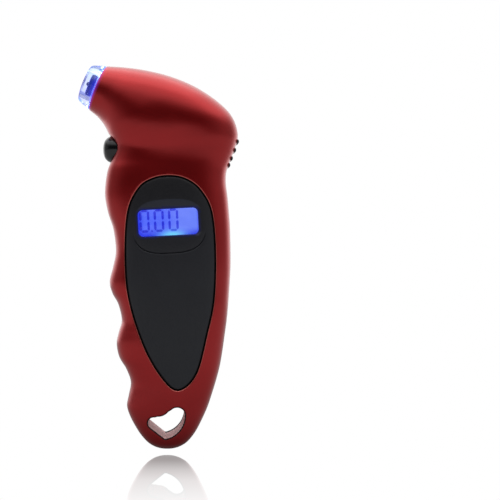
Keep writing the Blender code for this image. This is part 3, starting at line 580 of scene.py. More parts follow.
def mark_shell(shell, side, pocket, form):
    """Marks painted light and shade: a highlight on the pocket's lip, shade in its groove, on the
    ribs, round the lanyard eye's mouth and at its far edge, and a glow at the nozzle end; also the
    dark seam and the eye's walls.
    """
    spots = spots_of(shell)
    flat, (x, y, z) = spots[:, [0, 2]], spots.T
    depth = thickness(flat) - side * y
    deep = step_up(depth, 0.12, 0.26)
    reach = distance(flat, pocket)
    # Painted highlight: the lip is the rounded edge just outside the panel's groove.
    lip = (reach < 0.6) * (side * y > 8) * (side < 0) * step_up(depth, 0.0, 0.05) * (1 - deep)
    # Painted shade: the pocket's groove, under the panel's edge, is painted near black.
    shade = (inside(flat, pocket) | (reach < 0.5)) * (depth < 3) * (side < 0) * deep
    # Painted shade: the ribs on the back of the head are painted dark, more so towards their tips.
    for number in np.flatnonzero((x > RIB_ZONE_X) & (z > RIB_ZONE_Z[0]) & (z < RIB_ZONE_Z[1])):
        spot = Vector(spots[number]) * MM
        near, normal = form.find_nearest(spot)[:2]
        shade[number] = max(shade[number], ((spot - near) @ normal / MM - 0.04) * 3)
    eye = np.array(eyelet_outline())
    reach = distance(flat, eye)
    # Painted shade: a dark ring round the front of the lanyard eye's mouth.
    ring = (reach < 0.6) * step_up(depth, 0.0, 0.15) * (1 - step_up(depth, 0.6, 0.8))
    # The seam between the halves is marked dark as well.
    shade = np.maximum(np.maximum(shade, ring), (side * y < SEAM_HALF + 0.02) & (reach > 1))
    # The lanyard eye's walls: unpainted, and also painted lighter, as if lit from behind.
    wall = (reach < 0.05) * step_up(depth, 0.6, 0.75)
    # Painted shade: a dark line along the far edge of the lanyard eye, on the back half only.
    far = (reach < 0.02) * (side > 0) * (y > 1) * (x > 2.5)
    # Painted glow: the casing near the nozzle glows faint violet, as if lit by the nozzle's light.
    out = (spots - NOZZLE_BASE) @ np.array((sin(NOZZLE_TILT), 0, cos(NOZZLE_TILT)))
    mark(shell, lip=lip, shade=shade, wall=wall, far=far, nozzle_end=1 - step_up(-out, 0.15, 0.9))


def rounded(edge, radius):
    """The height of a quarter round at a distance from its edge."""
    return np.sqrt(radius ** 2 - np.clip(radius - edge, 0, radius) ** 2)


def step_up(value, low, high):
    t = np.clip((value - low) / (high - low), 0, 1)
    return t * t * (3 - 2 * t)


def eye_reach(points):
    """Signed distance outside the eye's outline, and the direction from its centre as an angle."""
    c, s = cos(WINDOW_TILT), sin(WINDOW_TILT)
    turn = np.array(((c, s), (-s, c)))

    def level(spots):
        local = np.abs((spots - EYE_CENTRE) @ turn.T / EYE_RADII)
        return (local ** EYE_SQUARENESS).sum(1) ** (1 / EYE_SQUARENESS)

    here = level(points)
    slope = np.hypot(level(points + (0.01, 0)) - here, level(points + (0, 0.01)) - here) / 0.01
    local = (points - EYE_CENTRE) @ turn.T / EYE_RADII
    return (here - 1) / np.maximum(slope, 0.02), np.arctan2(local[:, 1], local[:, 0])


def panel_top(points, border, window):
    """The panel's surface: crowned, rounded at its edge, with a scooped eye round the window."""
    edge, frame_edge = distance(points, border), distance(points, window)
    z = points[:, 1]
    swell = 0.25 + 0.95 * np.exp(-((z - 83) / 22) ** 2)
    height = thickness(points) - 0.1 + swell * (1 - np.exp(-edge / 4.5))
    rounding, bevel = 0.5, 0.15
    height -= rounding - rounded(edge, rounding)
    reach, angle = eye_reach(points)
    inner = reach < 0
    below = (points - WINDOW_CENTRE) @ (sin(WINDOW_TILT), -cos(WINDOW_TILT))
    lower = step_up(below, 4.2, 5.3)
    run = (1 - lower) * (frame_edge - reach) + lower * 0.3
    ramp = step_up(frame_edge / np.maximum(run, 0.05), 0.0, 1.0)
    lip = lower * 0.2 * step_up(-reach, 0.0, 3.0)
    scooped = WINDOW_LEVEL + (height + lip - WINDOW_LEVEL) * ramp
    height = np.where(inner, scooped, height)
    crease = step_up(-np.sin(angle), 0.15, 0.6) * np.exp(-(reach / 0.2) ** 2)
    height -= 0.45 * crease
    return height - (bevel - rounded(frame_edge, bevel)) * 0.8


def eye_outline(reach, count=150):
    """The eye's outline moved out by `reach`, clockwise."""
    turn = Matrix.Rotation(WINDOW_TILT, 2)
    found = []
    for k in range(count):
        c, s = spun(-k, count)
        size = square_reach(c, s, EYE_SQUARENESS)
        local = Vector(((EYE_RADII[0] + reach) * c * size, (EYE_RADII[1] + reach) * s * size))
        found.append(Vector(EYE_CENTRE) + turn @ local)
    return found


def plate(name, border, holes, guides, top, bottom, side, spacing):
    """A solid between two surfaces over an outline."""
    points, faces = fill(border, spacing, holes, guides)
    shape = bmesh.new()
    skins = []
    for heights in (top(points), bottom(points)):
        skins.append([shape.verts.new((x * MM, side * h * MM, z * MM))
                      for (x, z), h in zip(points, heights)])
    edges = {}
    for face in faces:
        for skin in skins:
            shape.faces.new([skin[i] for i in face])
        for a, b in zip(face, face[1:] + face[:1]):
            edges.setdefault(frozenset((a, b)), []).append((a, b))
    for uses in edges.values():
        if len(uses) == 1:
            a, b = uses[0]
            shape.faces.new((skins[0][a], skins[0][b], skins[1][b], skins[1][a]))
    loose = [v for v in shape.verts if not v.link_faces]
    bmesh.ops.delete(shape, geom=loose, context="VERTS")
    return place(name, shape)


def make_panel():
    border = smooth(PANEL_OUTLINE, 10)
    window = grown(rounded_rectangle(WINDOW_CENTRE, WINDOW_SIZE, WINDOW_CORNER, WINDOW_TILT), 0.12)
    guides = [grown(border, -d) for d in (0.03, 0.12, 0.27, 0.5, 0.95)]
    guides += [grown(window, d) for d in (0.03, 0.08, 0.15, 0.3)]
    guides += [eye_outline(d) for d in (-0.4, -0.2, -0.1, 0.0, 0.1, 0.2, 0.4)]
    arrays = np.array(border), np.array(window)
    panel = plate("face_panel_skin", border, [window], guides, lambda p: panel_top(p, *arrays),
                  lambda p: np.minimum(thickness(p) - PANEL_SINK + GAP, WINDOW_LEVEL - 0.9), -1, 0.7)
    carve(panel, lcd_space("lcd_relief", -12.5, -2))
    flat = spots_of(panel)[:, [0, 2]]
    edge, frame_edge = (distance(flat, loop) for loop in arrays)
    reach, angle = eye_reach(flat)
    above = (flat - WINDOW_CENTRE) @ (-sin(WINDOW_TILT), cos(WINDOW_TILT))
    # Painted light and shade: halo darkens and lights the window's rim, shade darkens the border,
    # scoop lightens the upper scoop.
    mark(panel, halo=np.exp(-(frame_edge / 0.4) ** 2), shade=1 - step_up(edge, 0.0, 0.45),
         scoop=step_up(-reach, -0.1, 0.5) * step_up(above, 4.2, 5.2) * step_up(frame_edge, 0.1, 0.8))
    finish(panel, "panel_black", "casing", "face_panel", angle=40)


def make_door():
    border = rounded_rectangle(DOOR_CENTRE, DOOR_SIZE, DOOR_CORNER, step=0.8)
    hole = circle(DOOR_SCREW, HEAD_RADIUS + GAP)
    guides = [grown(border, -d) for d in (0.03, 0.1, 0.2, 0.35)]
    guides += [circle(DOOR_SCREW, HEAD_RADIUS + GAP + d) for d in (0.08, 0.2, 0.35)]
    loops = [np.array(border), np.array(hole)]

    def top(points):
        edge = np.minimum(*(distance(points, loop) for loop in loops))
        rounding = 0.35
        return thickness(points) - rounding + rounded(edge, rounding)

    door = plate("battery_door_skin", border, [hole], guides, top,
                 lambda p: thickness(p) - DOOR_THICK, 1, 1.0)
    x, z = DOOR_SCREW
    narrow, wide, thick = SHANK_RADIUS + GAP, HEAD_RADIUS + GAP + 0.2, 0.55
    seat = lathe("seat", ((narrow, 0.0), (wide, 0.0), (wide, -thick), (narrow, -thick)),
                 screw_matrix(x, DOOR_SCREW_SEAT - GAP, z), 40, True)
    carve(door, seat, operation="UNION")
    finish(door, "shell_red", "door", "battery_door", angle=32)


# ---- Small parts
def screw_matrix(x, seat, z):
    return Matrix.Translation(Vector((x, seat, z)) * MM) @ Matrix.Rotation(-pi / 2, 4, "X")


def make_screw(node, body, x, seat, z, length):
    """A pan-head screw along Y with a cross recess and a shallow thread."""
    profile = [(0, 1.4), (0.9, 1.36), (1.5, 1.2), (1.9, 0.92), (2.08, 0.6), (2.1, 0.3), (2.1, 0.06),
               (2.04, 0.0), (SHANK_RADIUS, 0.0)]
    turns = 9
    for k in range(1, turns + 1):
        down = -(length - 1.2) * k / turns
        profile += [(SHANK_RADIUS - 0.18, down + 0.22), (SHANK_RADIUS, down)]
    profile += [(0, -length)]
    screw = lathe(f"{node}_skin", profile, screw_matrix(x, seat, z), 40)
    cross = []
    for turn in (0.0, pi / 2):
        sections = (0.55, 0.16, 0.5), (1.25, 0.27, 1.25), (1.35, 0.29, 3.0)
        blade = stack("blade", [[(sx * w, sz * t, up) for sx, sz in CORNERS] for w, t, up in sections])
        blade.data.transform(screw_matrix(x, seat, z) @ Matrix.Rotation(turn, 4, "Z"))
        cross.append(blade)
    carve(screw, *cross)
    finish(screw, "steel", body, node, angle=35)


def make_nozzle():
    """The clear lit cap, the core inside it, the seal and pin in its mouth, and its light."""
    outer = rounded_profile(((MOUTH_RADIUS, 2.0), (MOUTH_RADIUS, CAP_LENGTH), (7.25, CAP_LENGTH),
                             (9.0, 0.8), (9.0, GAP), (8.5, GAP)), 0.7)
    cap = lathe("nozzle_cap_skin", outer + [Vector((CAP_SPIGOT, GAP)), Vector((CAP_SPIGOT, -3.0)),
                                            Vector((MOUTH_RADIUS, -3.0))], nozzle_matrix(), 128, True)
    carve(cap, rod("led_pocket", along_nozzle(-4.0, LED_OFFSET), along_nozzle(1.2, LED_OFFSET),
                   LED_RADIUS + GAP, 32))
    finish(cap, "clear", "casing", "nozzle_cap", angle=30)
    for node, slot, up, steps, closed, profile in (
            ("nozzle_core", "core_blue", 0.0, 96, True, (
                (CORE_BORE, 0.4), (3.9, 0.4), (4.12, 0.32), (CORE_RADIUS, 0.1), (CORE_RADIUS, -7.0),
                (6.0, -7.0), (6.0, -8.4), (CORE_RADIUS, -8.4), (CORE_RADIUS, -14.0), (1.9, -14.8),
                (1.9, -18.0), (0.8, -18.0), (0.8, -7.0), (CORE_BORE, -7.0))),
            ("valve_seal", "rubber", 0.0, 96, True, (
                (CORE_BORE, 2.3), (1.6, 2.5), (1.9, 2.68), (2.3, 2.7), (3.5, 2.7), (3.9, 2.62),
                (4.15, 2.4), (4.2, 2.1), (4.2, 0.8), (4.1, 0.7), (1.6, 0.7), (CORE_BORE, 0.8))),
            ("valve_pin", "brass", 0.0, 40, False, (
                (0, 3.5), (0.3, 3.47), (0.58, 3.33), (0.75, 3.1), (0.8, 2.85), (0.8, -4.6),
                (1.2, -4.8), (1.2, -6.6), (0, -6.6))),
            ("nozzle_led", "led_white", LED_OFFSET, 32, False, (
                (0, 0.9), (0.38, 0.84), (0.7, 0.6), (0.92, 0.3), (LED_RADIUS, 0), (LED_RADIUS, -5.5),
                (0, -5.5)))):
        made = lathe(f"{node}_skin", profile, nozzle_matrix(up), steps, closed)
        finish(made, slot, "casing", node)


def make_button():
    dome = rounded_profile(((0, 4.4), (2.1, 4.25), (3.9, 3.65), (5.2, 2.45), (5.8, 0.9), (5.95, -0.6),
                            (5.95, -2.6)), 3.0, 6)
    rest = [(BUTTON_FLANGE, -2.6), (BUTTON_FLANGE, -3.6), (2.2, -3.6), (2.2, -4.9), (0, -4.9)]
    button = lathe("button_cap_skin", dome + rest,
                   Matrix.Translation(BUTTON_CENTRE * MM) @ Matrix.Rotation(-pi / 2, 4, "Y"), 96)
    finish(squashed(button), "button_black", "button", "button_cap", angle=35)


def make_display():
    """The lens, and the dark figures of the display just behind it."""
    face = rounded_rectangle(WINDOW_CENTRE, WINDOW_SIZE, WINDOW_CORNER, WINDOW_TILT)
    rings = [(0.0, LENS_FACE + LENS_THICK), (0.0, LENS_FACE + 0.2), (-0.06, LENS_FACE + 0.06),
             (-0.2, LENS_FACE)]
    lens = stack("window_lens_skin", [[(p[0], y, p[1]) for p in grown(face, d)] for d, y in rings])
    finish(lens, "clear", "casing", "window_lens", angle=40)
    (wide, tall), thick, turn = FIGURE_SIZE, FIGURE_BAR, Matrix.Rotation(WINDOW_TILT, 2)
    shape = bmesh.new()

    def bar(x, z, length, upright):
        half, side = length / 2 - FIGURE_CUT, thick / 2
        outline = [(-half, 0), (-half + side, side), (half - side, side), (half, 0),
                   (half - side, -side), (-half + side, -side)]
        if upright:
            outline = [(b, a) for a, b in outline]
        spots = [Vector(WINDOW_CENTRE) + turn @ Vector((x + a, z + b)) for a, b in outline]
        skins = [[shape.verts.new((p.x * MM, y * MM, p.y * MM)) for p in spots] for y in FIGURE_FACES]
        for skin in skins:
            shape.faces.new(skin)
        for k in range(len(spots)):
            n = (k + 1) % len(spots)
            shape.faces.new((skins[0][k], skins[0][n], skins[1][n], skins[1][k]))

    span, rise = (wide - thick) / 2, (tall - thick) / 2
    for centre in FIGURE_PLACES:
        for up in (-1, 1):
            bar(centre, FIGURE_RISE + up * rise, 2 * span, False)
            for aside in (-1, 1):
                bar(centre + aside * span, FIGURE_RISE + up * rise / 2, rise, True)
    bar(POINT_PLACE, FIGURE_RISE - rise, 1.2, False)
    finish(place("display_figures", shape), "lcd_blue", "casing")


# ---- Materials
class Nodes:
    """A node tree with short ways to add nodes to it."""

    def __init__(self, tree):
        self.tree = tree

    def node(self, kind, inputs, **settings):
        made = self.tree.nodes.new(f"ShaderNode{kind}")
        for key, value in settings.items():
            setattr(made, key, value)
        for key, value in inputs.items():
            if isinstance(value, bpy.types.NodeSocket):
                self.tree.links.new(value, made.inputs[key])
            else:
                made.inputs[key].default_value = value
        return made

    def math(self, operation, *values):
        return self.node("Math", dict(enumerate(values)), operation=operation).outputs[0]

    def product(self, value, *others):
        for other in others:
            value = self.math("MULTIPLY", value, other)
        return value

    def span(self, value, low, high, from_low=0.0, from_high=1.0, **settings):
        ends = {"From Min": from_low, "From Max": from_high, "To Min": low, "To Max": high}
        return self.node("MapRange", {"Value": value, **ends}, clamp=True, **settings).outputs[0]


class Paint(Nodes):
    """A Principled material, with settings for its shader's sockets."""

    def __init__(self, name, **settings):
        self.made = bpy.data.materials.new(name)
        self.made.use_nodes = True
        super().__init__(self.made.node_tree)
        self.shader = self.tree.nodes["Principled BSDF"]
        for socket, value in settings.items():
            self.shader.inputs[socket.replace("_", " ")].default_value = value
        self.place = self.tree.nodes.new("ShaderNodeTexCoord").outputs["Object"]

    def noise(self, scale, detail=2.0, rough=0.5):
        return self.node("TexNoise", {"Vector": self.place, "Scale": scale, "Detail": detail,
                                      "Roughness": rough}).outputs["Fac"]

    def drift(self, scale, low, high, detail=2.0):
        """A value that drifts between two."""
        return self.span(self.noise(scale, detail), low, high)

    def clouds(self, scale, dark, light, detail=2.0):
        """A colour that drifts between two."""
        return self.ramp(self.noise(scale, detail), (0.3, dark), (0.7, light))

    def ramp(self, value, *stops):
        """A colour ramp. A stop's colour may be one number, for a grey."""
        made = self.node("ValToRGB", {"Fac": value})
        line = made.color_ramp
        while len(line.elements) < len(stops):
            line.elements.new(0.5)
        for element, (spot, colour) in zip(line.elements, stops):
            shade = colour if isinstance(colour, tuple) else (colour,) * 3
            element.position, element.color = spot, (*shade, 1.0)
        return made.outputs["Color"]

    def hump(self, value, centre, width):
        """A bell of 1 at the centre."""
        offset = self.math("DIVIDE", self.math("SUBTRACT", value, centre), width)
        return self.math("EXPONENT", self.product(offset, offset, -1.0))

    def length(self, a, b):
        return self.math("SQRT", self.math("ADD", self.product(a, a), self.product(b, b)))

    def mask(self, name):
        return self.node("Attribute", {}, attribute_name=name).outputs["Fac"]

    def axes(self, origin, tilt):
        """The position in millimetres from an origin, on axes turned round Y."""
        moved = self.node("Mapping", {"Vector": self.place, "Location": tuple(-Vector(origin) * MM)})
        turned = self.node("Mapping", {"Vector": moved.outputs[0], "Rotation": (0, tilt, 0),
                                       "Scale": (1000, 1000, 1000)})
        return self.node("SeparateXYZ", {"Vector": turned.outputs[0]}).outputs

    def blend(self, factor, first, second, kind="MIX"):
        return self.node("Mix", {"Factor": factor, "A": first, "B": second}, data_type="RGBA",
                         blend_type=kind).outputs[2]

    def put(self, **sockets):
        """Links values to the shader's sockets, and gives the material."""
        for socket, value in sockets.items():
            self.tree.links.new(value, self.shader.inputs[socket.replace("_", " ")])
        return self.made

    def bump(self, height, distance_mm):
        made = self.node("Bump", {"Height": height, "Distance": distance_mm * MM, "Strength": 1.0})
        return made.outputs["Normal"]


def plain(name, dark, light, rough, grain, bump_mm, metallic=0.0):
    """A moulded or metal finish: clouded colour, uneven roughness and a fine grain."""
    paint = Paint(name, Metallic=metallic)
    return paint.put(Base_Color=paint.clouds(90.0, dark, light, 3.0),
                     Roughness=paint.drift(198.0, rough * 0.88, rough * 1.14),
                     Normal=paint.bump(paint.noise(grain), bump_mm))


def lcd_glow(name, left, right, deep, hot, strength):
    """The lit display: deeper blue at its left and lower edges, and bright over its light."""
    paint = Paint(name, Roughness=0.35, Emission_Strength=strength)
    x, _, z = paint.axes((WINDOW_CENTRE[0], 0, WINDOW_CENTRE[1]), WINDOW_TILT)
    base = paint.ramp(paint.span(x, 0, 1, -12, 12), (0.03, deep), (0.12, left), (0.45, left),
                      (0.7, right), (0.94, right), (1.0, deep))
    away = paint.math("SUBTRACT", 1.0, paint.hump(x, 1.6, 5.0))
    base = paint.blend(paint.product(paint.span(z, 1, 0, -4.7, -2.2), away), base, (*deep, 1))
    over_light = paint.product(paint.hump(x, 1.3, 4.0), paint.hump(z, -4.9, 1.6))
    base = paint.blend(over_light, base, (*hot, 1))
    grain = paint.drift(700.0, 0.93, 1.07)
    unlit = paint.ramp(grain, (0.0, (0.01, 0.012, 0.08)), (1.0, (0.02, 0.02, 0.12)))
    return paint.put(Emission_Color=paint.blend(1.0, base, grain, "MULTIPLY"), Base_Color=unlit)


def shell_paint():
    """Satin red, with a painted highlight on the pocket's lip, dark grooves and ribs of painted shade,
    the lanyard eye's unpainted walls, also painted lighter for light from behind, and a painted violet
    glow by the nozzle.
    """
    paint = Paint("shell_red_satin", Coat_Roughness=0.25, Coat_IOR=1.5,
                  Emission_Color=(0.30, 0.06, 1.0, 1.0))
    wall = paint.mask("wall")
    # Painted shade at the lanyard eye's far edge.
    far = paint.span(paint.mask("far"), 0, 1, 0.58, 0.68)
    # Painted shade: where the shade or far marks are, the red goes near black and loses its metal and
    # coat.
    dark = paint.math("MAXIMUM", paint.mask("shade"), far)
    walls_and_shade = paint.math("MAXIMUM", wall, dark)
    red = paint.clouds(60.0, (0.50, 0.005, 0.007), (0.56, 0.007, 0.010), 3.0)
    # Painted highlight: the pocket's lip is painted a light red, as if catching the light above.
    red = paint.blend(paint.mask("lip"), red, (0.95, 0.20, 0.17, 1))
    # The lanyard eye's walls: a light pinkish grey, partly their unpainted colour and partly painted
    # light from behind.
    red = paint.blend(wall, red, (0.90, 0.56, 0.56, 1))
    satin = paint.drift(140.0, 0.30, 0.36, 3.0)
    return paint.put(Base_Color=paint.blend(dark, red, (0.006, 0.003, 0.003, 1)),
                     Metallic=paint.span(walls_and_shade, 0.85, 0.0),
                     Coat_Weight=paint.product(paint.span(wall, 0.8, 0.3), paint.span(dark, 1, 0)),
                     # Painted glow by the nozzle, in the violet emission colour set above.
                     Emission_Strength=paint.product(paint.mask("nozzle_end"), 0.3),
                     Roughness=paint.math("MAXIMUM", satin, paint.product(walls_and_shade, 0.85)),
                     Normal=paint.bump(paint.noise(2600.0), 0.006))


def panel_paint():
    """Grained black: painted shade darkens it towards its top, along its border and round the window;
    painted light lightens the scoop; a painted blue glow lies round the window.
    """
    paint = Paint("panel_black_grained", Specular_IOR_Level=0.5,
                  Emission_Color=(0.02, 0.05, 1.0, 1.0))
    # Painted shade: the black is darker towards the panel's top.
    z = paint.node("SeparateXYZ", {"Vector": paint.place}).outputs["Z"]
    black = paint.ramp(paint.span(z, 0, 1, 0.025, 0.105), (0.0, (0.031, 0.034, 0.042)), 
                       (0.5, (0.026, 0.028, 0.036)), (0.72, (0.019, 0.020, 0.028)),
                       (0.95, (0.009, 0.009, 0.013)))
    # Painted light: the scoop above the window, which faces up, is painted a lighter blue-grey.
    black = paint.blend(paint.mask("scoop"), black, (0.034, 0.040, 0.062, 1))
    # Painted shade: near black round the window's edge and along the panel's border.
    dark = paint.math("MAXIMUM", paint.mask("halo"), paint.mask("shade"))
    black = paint.blend(dark, black, (0.002, 0.002, 0.004, 1))
    tone = paint.clouds(80.0, (0.90, 0.90, 0.91), (1.0, 1.0, 1.0), 3.0)
    return paint.put(Base_Color=paint.blend(1.0, black, tone, "MULTIPLY"),
                     # Painted glow: faint blue light round the window's edge, in the emission colour
                     # set above.
                     Emission_Strength=paint.product(paint.mask("halo"), 0.09),
                     Roughness=paint.drift(500.0, 0.44, 0.56),
                     Normal=paint.bump(paint.noise(1300.0, 3.0, 0.6), 0.07))


def button_paint():
    paint = Paint("button_black_gloss", Specular_IOR_Level=0.5, Coat_Weight=0.5, Coat_Roughness=0.08)
    return paint.put(Base_Color=paint.clouds(150.0, (0.006, 0.0065, 0.008), (0.009, 0.01, 0.012)),
                     Roughness=paint.drift(300.0, 0.16, 0.24),
                     Normal=paint.bump(paint.noise(1200.0), 0.004))


def lens_paint():
    paint = Paint("window_clear", Transmission_Weight=1.0, IOR=1.46, Specular_IOR_Level=0.4)
    return paint.put(Base_Color=paint.clouds(40.0, (0.90, 0.92, 1.0), (0.96, 0.97, 1.0)),
                     Roughness=paint.drift(200.0, 0.015, 0.04))


def cap_paint():
    """Clear, with a painted blue glow, painted shade in a bar across its mouth, a painted bright line
    at its base and painted sparkles over its light.
    """
    paint = Paint("cap_clear_lit", Transmission_Weight=1.0, IOR=1.45, Specular_IOR_Level=0.15)
    up, _, out = paint.axes(NOZZLE_BASE, -NOZZLE_TILT)
    facing = paint.node("LayerWeight", {"Blend": 0.5}).outputs["Facing"]
    tint = paint.ramp(facing, (0.0, (0.90, 0.93, 1.0)), (0.45, (0.76, 0.82, 1.0)),
                      (0.75, (0.38, 0.45, 0.98)), (1.0, (0.16, 0.19, 0.85)))
    # Painted shade: a dark bar across the cap's mouth.
    bar = paint.product(paint.hump(out, 4.75, 0.3), paint.hump(up, -0.3, 3.0))
    # Painted glow: sparkles and a hot spot over the light, a bright line at the base, and blue light
    # all over.
    sparks = paint.span(paint.noise(420.0), 0.0, 1.0, 0.45, 0.7)
    hot = paint.product(paint.hump(up, 6.2, 2.2), paint.hump(out, 1.0, 2.2), sparks, 0.2)
    line = paint.product(paint.hump(out, 0.35, 0.3), 0.3)
    glow = paint.ramp(paint.span(up, 0, 1, -8, 8), (0.0, (0.05, 0.08, 1.0)),
                      (0.55, (0.10, 0.15, 1.0)), (1.0, (0.28, 0.75, 1.0)))
    return paint.put(Base_Color=paint.blend(bar, tint, (0.16, 0.16, 0.27, 1)),
                     Roughness=paint.drift(260.0, 0.02, 0.08), Emission_Color=glow,
                     Emission_Strength=paint.math("ADD", paint.math("ADD", line, 0.09), hot))


def core_paint():
    paint = Paint("core_blue_lit", Emission_Strength=0.5, Specular_IOR_Level=0.1)
    return paint.put(Emission_Color=paint.clouds(350.0, (0.006, 0.004, 0.20), (0.02, 0.015, 0.75)),
                     Base_Color=paint.clouds(200.0, (0.006, 0.007, 0.05), (0.01, 0.012, 0.08)),
                     Roughness=paint.drift(300.0, 0.28, 0.4))


def led_paint():
    paint = Paint("led_lit", Emission_Strength=9.0, Roughness=0.2)
    return paint.put(Emission_Color=paint.clouds(900.0, (0.55, 0.95, 1.0), (0.75, 1.0, 1.0)))


def seal_paint():
    """Dark rubber, lit blue from its base and round its bore."""
    paint = Paint("seal_rubber_lit", Roughness=0.5, Specular_IOR_Level=0.1, Emission_Strength=0.9)
    up, aside, out = paint.axes(NOZZLE_BASE, -NOZZLE_TILT)
    lit = paint.ramp(paint.span(out, 0, 1, 0.6, 2.8), (0.0, (0.010, 0.008, 0.50)),
                     (0.45, (0.004, 0.004, 0.22)), (1.0, (0.002, 0.003, 0.03)))
    near = paint.span(paint.length(up, aside), 1, 0, 3.2, 4.0)
    return paint.put(Base_Color=paint.clouds(700.0, (0.006, 0.006, 0.012), (0.010, 0.010, 0.018)),
                     Emission_Color=paint.blend(near, lit, (0.015, 0.015, 0.60, 1)))


# By slot: name, dark and light colour, roughness, grain, its height in mm, and metallic.
PLAIN = {
    "rubber": ("rubber_black", (0.010, 0.010, 0.011), (0.016, 0.016, 0.017), 0.7, 1500.0, 0.02),
    "brass": ("brass_nickelled", (0.13, 0.13, 0.14), (0.19, 0.19, 0.20), 0.28, 3000.0, 0.003, 1.0),
    "steel": ("steel_plated", (0.50, 0.50, 0.51), (0.66, 0.66, 0.67), 0.28, 2500.0, 0.004, 1.0),
    "diffuser": ("diffuser_milky", (0.66, 0.70, 0.82), (0.78, 0.82, 0.92), 0.5, 800.0, 0.01),
    "board_green": ("board_solder_mask", (0.008, 0.09, 0.03), (0.014, 0.15, 0.05), 0.4, 1200.0, 0.02),
    "epoxy": ("epoxy_black", 0.008, 0.013, 0.3, 700.0, 0.02),
    "capacitor": ("capacitor_sleeve", (0.012, 0.025, 0.13), (0.018, 0.035, 0.18), 0.35, 900.0, 0.01),
    "sensor_grey": ("sensor_moulding", (0.38, 0.38, 0.36), (0.46, 0.46, 0.44), 0.5, 1200.0, 0.02),
    "switch_black": ("switch_moulding", 0.018, 0.028, 0.5, 1200.0, 0.02),
    "tube_grey": ("tube_silicone", 0.45, 0.55, 0.6, 800.0, 0.02),
    "wire_red": ("wire_red_sleeve", (0.36, 0.012, 0.012), (0.48, 0.02, 0.02), 0.45, 1500.0, 0.01),
    "wire_black": ("wire_black_sleeve", 0.014, 0.022, 0.45, 1500.0, 0.01)}

# Pieces that share a slot with others but have their own material.
OWN_MATERIAL = {"window_lens_skin": "window_lens", "display_figures": "lcd_figures",
                "valve_seal_skin": "valve_seal"}
# The CAD nodes that are shown as they are, by slot.
SHOWN_AS_CAD = {
    "lcd_blue": "lcd_glass", "diffuser": "backlight_diffuser", "led_white": "backlight_led",
    "rubber": "zebra_strip nozzle_oring", "board_green": "main_board switch_board",
    "epoxy": "controller_blob", "capacitor": "smoothing_capacitor", "sensor_grey": "pressure_sensor",
    "tube_grey": "sensor_tube", "switch_black": "switch_body switch_plunger",
    "wire_red": "led_lead_red switch_lead_red battery_lead_red",
    "wire_black": "led_lead_black switch_lead_black battery_lead_black",
    "steel": "crystal_can coin_cell coin_cell_contact button_cell_1 button_cell_2 button_cell_3 "
             "cell_spring cell_plate"}


def make_materials():
    made = {slot: plain(*row) for slot, row in PLAIN.items()}
    made |= {"shell_red": shell_paint(), "panel_black": panel_paint(), "button_black": button_paint(),
             "window_lens": lens_paint(), "clear": cap_paint(), "core_blue": core_paint(),
             "led_white": led_paint(), "valve_seal": seal_paint()}
    made["lcd_blue"] = lcd_glow("lcd_blue_lit", (0.10, 0.165, 1.0), (0.165, 0.25, 1.0),
                                (0.015, 0.03, 0.80), (0.18, 0.75, 1.0), 1.0)
    made["lcd_figures"] = lcd_glow("lcd_figures_dark", (0.022, 0.035, 0.74), (0.04, 0.065, 0.80),
                                   (0.012, 0.018, 0.60), (0.12, 0.40, 0.95), 0.95)
    return made


def dress(item, material):
    item.data.materials.clear()
    item.data.materials.append(MATERIALS[material])


def finish(item, slot, body, node=None, angle=35.0):
    """Material by slot, shading and body; hides the CAD node that a piece stands for."""
    dress(item, OWN_MATERIAL.get(item.name, slot))
    item.data.shade_smooth()
    item.data.set_sharp_from_angle(angle=radians(angle))
    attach(item, body)
    if node:
        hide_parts(node)


# ---- Studio and camera
def make_floor():
    """A white sweep with a faint mirror that fades towards the front. To bounced light it is dimmer
    round the object, a painted shadow.
    """
    shape = bmesh.new()
    bmesh.ops.create_circle(shape, cap_ends=True, segments=96, radius=FLOOR_RADIUS)
    floor = place("studio_floor", shape, Matrix.Translation((0, 0, -FLOOR_DROP)))
    paint = Paint("floor_white")
    x, depth, _ = paint.node("SeparateXYZ", {"Vector": paint.place}).outputs
    aside = paint.math("ABSOLUTE", paint.math("SUBTRACT", x, 0.004))
    mirror = paint.ramp(paint.span(depth, 0, 1, -0.1, -0.005), (0.0, 0.0), (0.3, 0.07), (0.6, 0.24),
                        (0.76, 0.42), (0.9, 0.64), (1.0, 0.70))
    seen = paint.node("LightPath", {}).outputs["Is Camera Ray"]
    mirror = paint.product(mirror, paint.span(aside, 1, 0, 0.035, 0.06),
                           paint.span(depth, 1, 0, 0.0, 0.01), seen)
    # Painted shadow: to all but camera rays, the floor's light is dimmer round the object.
    near = paint.ramp(paint.span(paint.length(depth, aside), 0, 1, 0, 0.12), (0.0, 0.08), (0.1, 0.13),
                      (0.28, 0.28), (1.0, 0.42))
    lit = paint.math("MAXIMUM", near, paint.span(depth, 0, 0.95, 0.2, 0.6))
    level = paint.math("MAXIMUM", seen, lit)
    glow = paint.node("Emission", {"Color": (1, 1, 1, 1), "Strength": level}).outputs[0]
    gloss = paint.node("BsdfGlossy", {"Color": (1, 1, 1, 1), "Roughness": 0.0}).outputs[0]
    mixed = paint.node("MixShader", {"Fac": mirror, 1: glow, 2: gloss}).outputs[0]
    paint.tree.links.new(mixed, paint.tree.nodes["Material Output"].inputs["Surface"])
    floor.data.materials.append(paint.made)


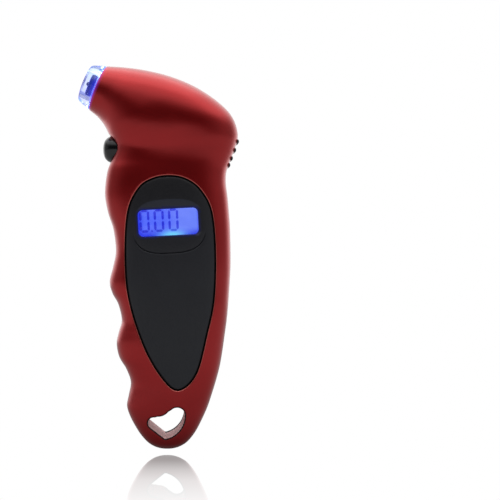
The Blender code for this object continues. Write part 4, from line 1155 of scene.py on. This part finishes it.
def make_world():
    """White to the camera and in the floor. Else bright behind and above, and dim in front."""
    world = bpy.data.worlds.new("studio")
    bpy.context.scene.world = world
    world.use_nodes = True
    world.node_tree.nodes.clear()
    sky = Nodes(world.node_tree)
    way = sky.node("TexCoord", {}).outputs["Generated"]
    x, y, z = sky.node("SeparateXYZ", {"Vector": way}).outputs
    side = sky.math("ABSOLUTE", sky.math("ADD", x, SIDE_SHIFT))
    side = sky.math("SUBTRACT", side, SIDE_SHIFT)
    shoulder = sky.product(side, z)
    level = 0.015
    for value, low, high, amount in ((y, 0.15, 0.85, 1.0), (z, 0.36, 0.8, 0.85),
                                     (side, 0.45, 1.0, 0.24), (shoulder, 0.3, 0.48, 0.4)):
        share = sky.span(value, 0.0, amount, low, high, interpolation_type="SMOOTHSTEP")
        level = sky.math("ADD", share, level)
    level = sky.math("MINIMUM", level, 1.15)
    path = sky.node("LightPath", {}).outputs
    seen = sky.math("MAXIMUM", path["Is Camera Ray"], path["Is Singular Ray"])
    soft = sky.node("Background", {"Color": (1, 1, 1, 1), "Strength": level}).outputs[0]
    white = sky.node("Background", {"Color": (1, 1, 1, 1), "Strength": 1.0}).outputs[0]
    mixed = sky.node("MixShader", {"Fac": seen, 1: soft, 2: white}).outputs[0]
    sky.node("OutputWorld", {"Surface": mixed})


def make_light():
    """A soft light above, turned towards the head."""
    data = bpy.data.lights.new("top_soft", "AREA")
    data.shape, data.size, data.size_y, data.energy = "RECTANGLE", 0.5, 0.5, 0.5
    lamp = bpy.data.objects.new("top_soft", data)
    lamp.location = LIGHT_SPOT
    lamp.rotation_euler = (LIGHT_AIM - LIGHT_SPOT).to_track_quat("-Z", "Y").to_euler()
    bpy.context.scene.collection.objects.link(lamp)


def make_camera():
    data = bpy.data.cameras.new("camera")
    data.sensor_width, data.lens = 36.0, CAMERA_LENS
    data.shift_x, data.shift_y = CAMERA_SHIFT
    data.clip_start, data.clip_end = 0.01, 10.0
    camera = bpy.data.objects.new("camera", data)
    camera.location = CAMERA_SPOT
    camera.rotation_euler = (pi / 2, 0, 0)
    bpy.context.scene.collection.objects.link(camera)
    bpy.context.scene.camera = camera


make_camera()
make_world()
make_floor()
make_light()
bpy.context.scene.view_settings.view_transform = "Standard"

MATERIALS = make_materials()
for slot_name, node_names in SHOWN_AS_CAD.items():
    for node_name in node_names.split():
        dress(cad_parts[node_name], slot_name)

make_shells()
make_panel()
make_door()
make_display()
make_nozzle()
make_button()
make_screw("door_screw", "screw", DOOR_SCREW[0], DOOR_SCREW_SEAT, DOOR_SCREW[1], 6.4)
for number, (x, z) in enumerate(CASE_SCREWS, 1):
    make_screw(f"case_screw_{number}", "casing", x, SEAT_Y + GAP, z, 9.4)
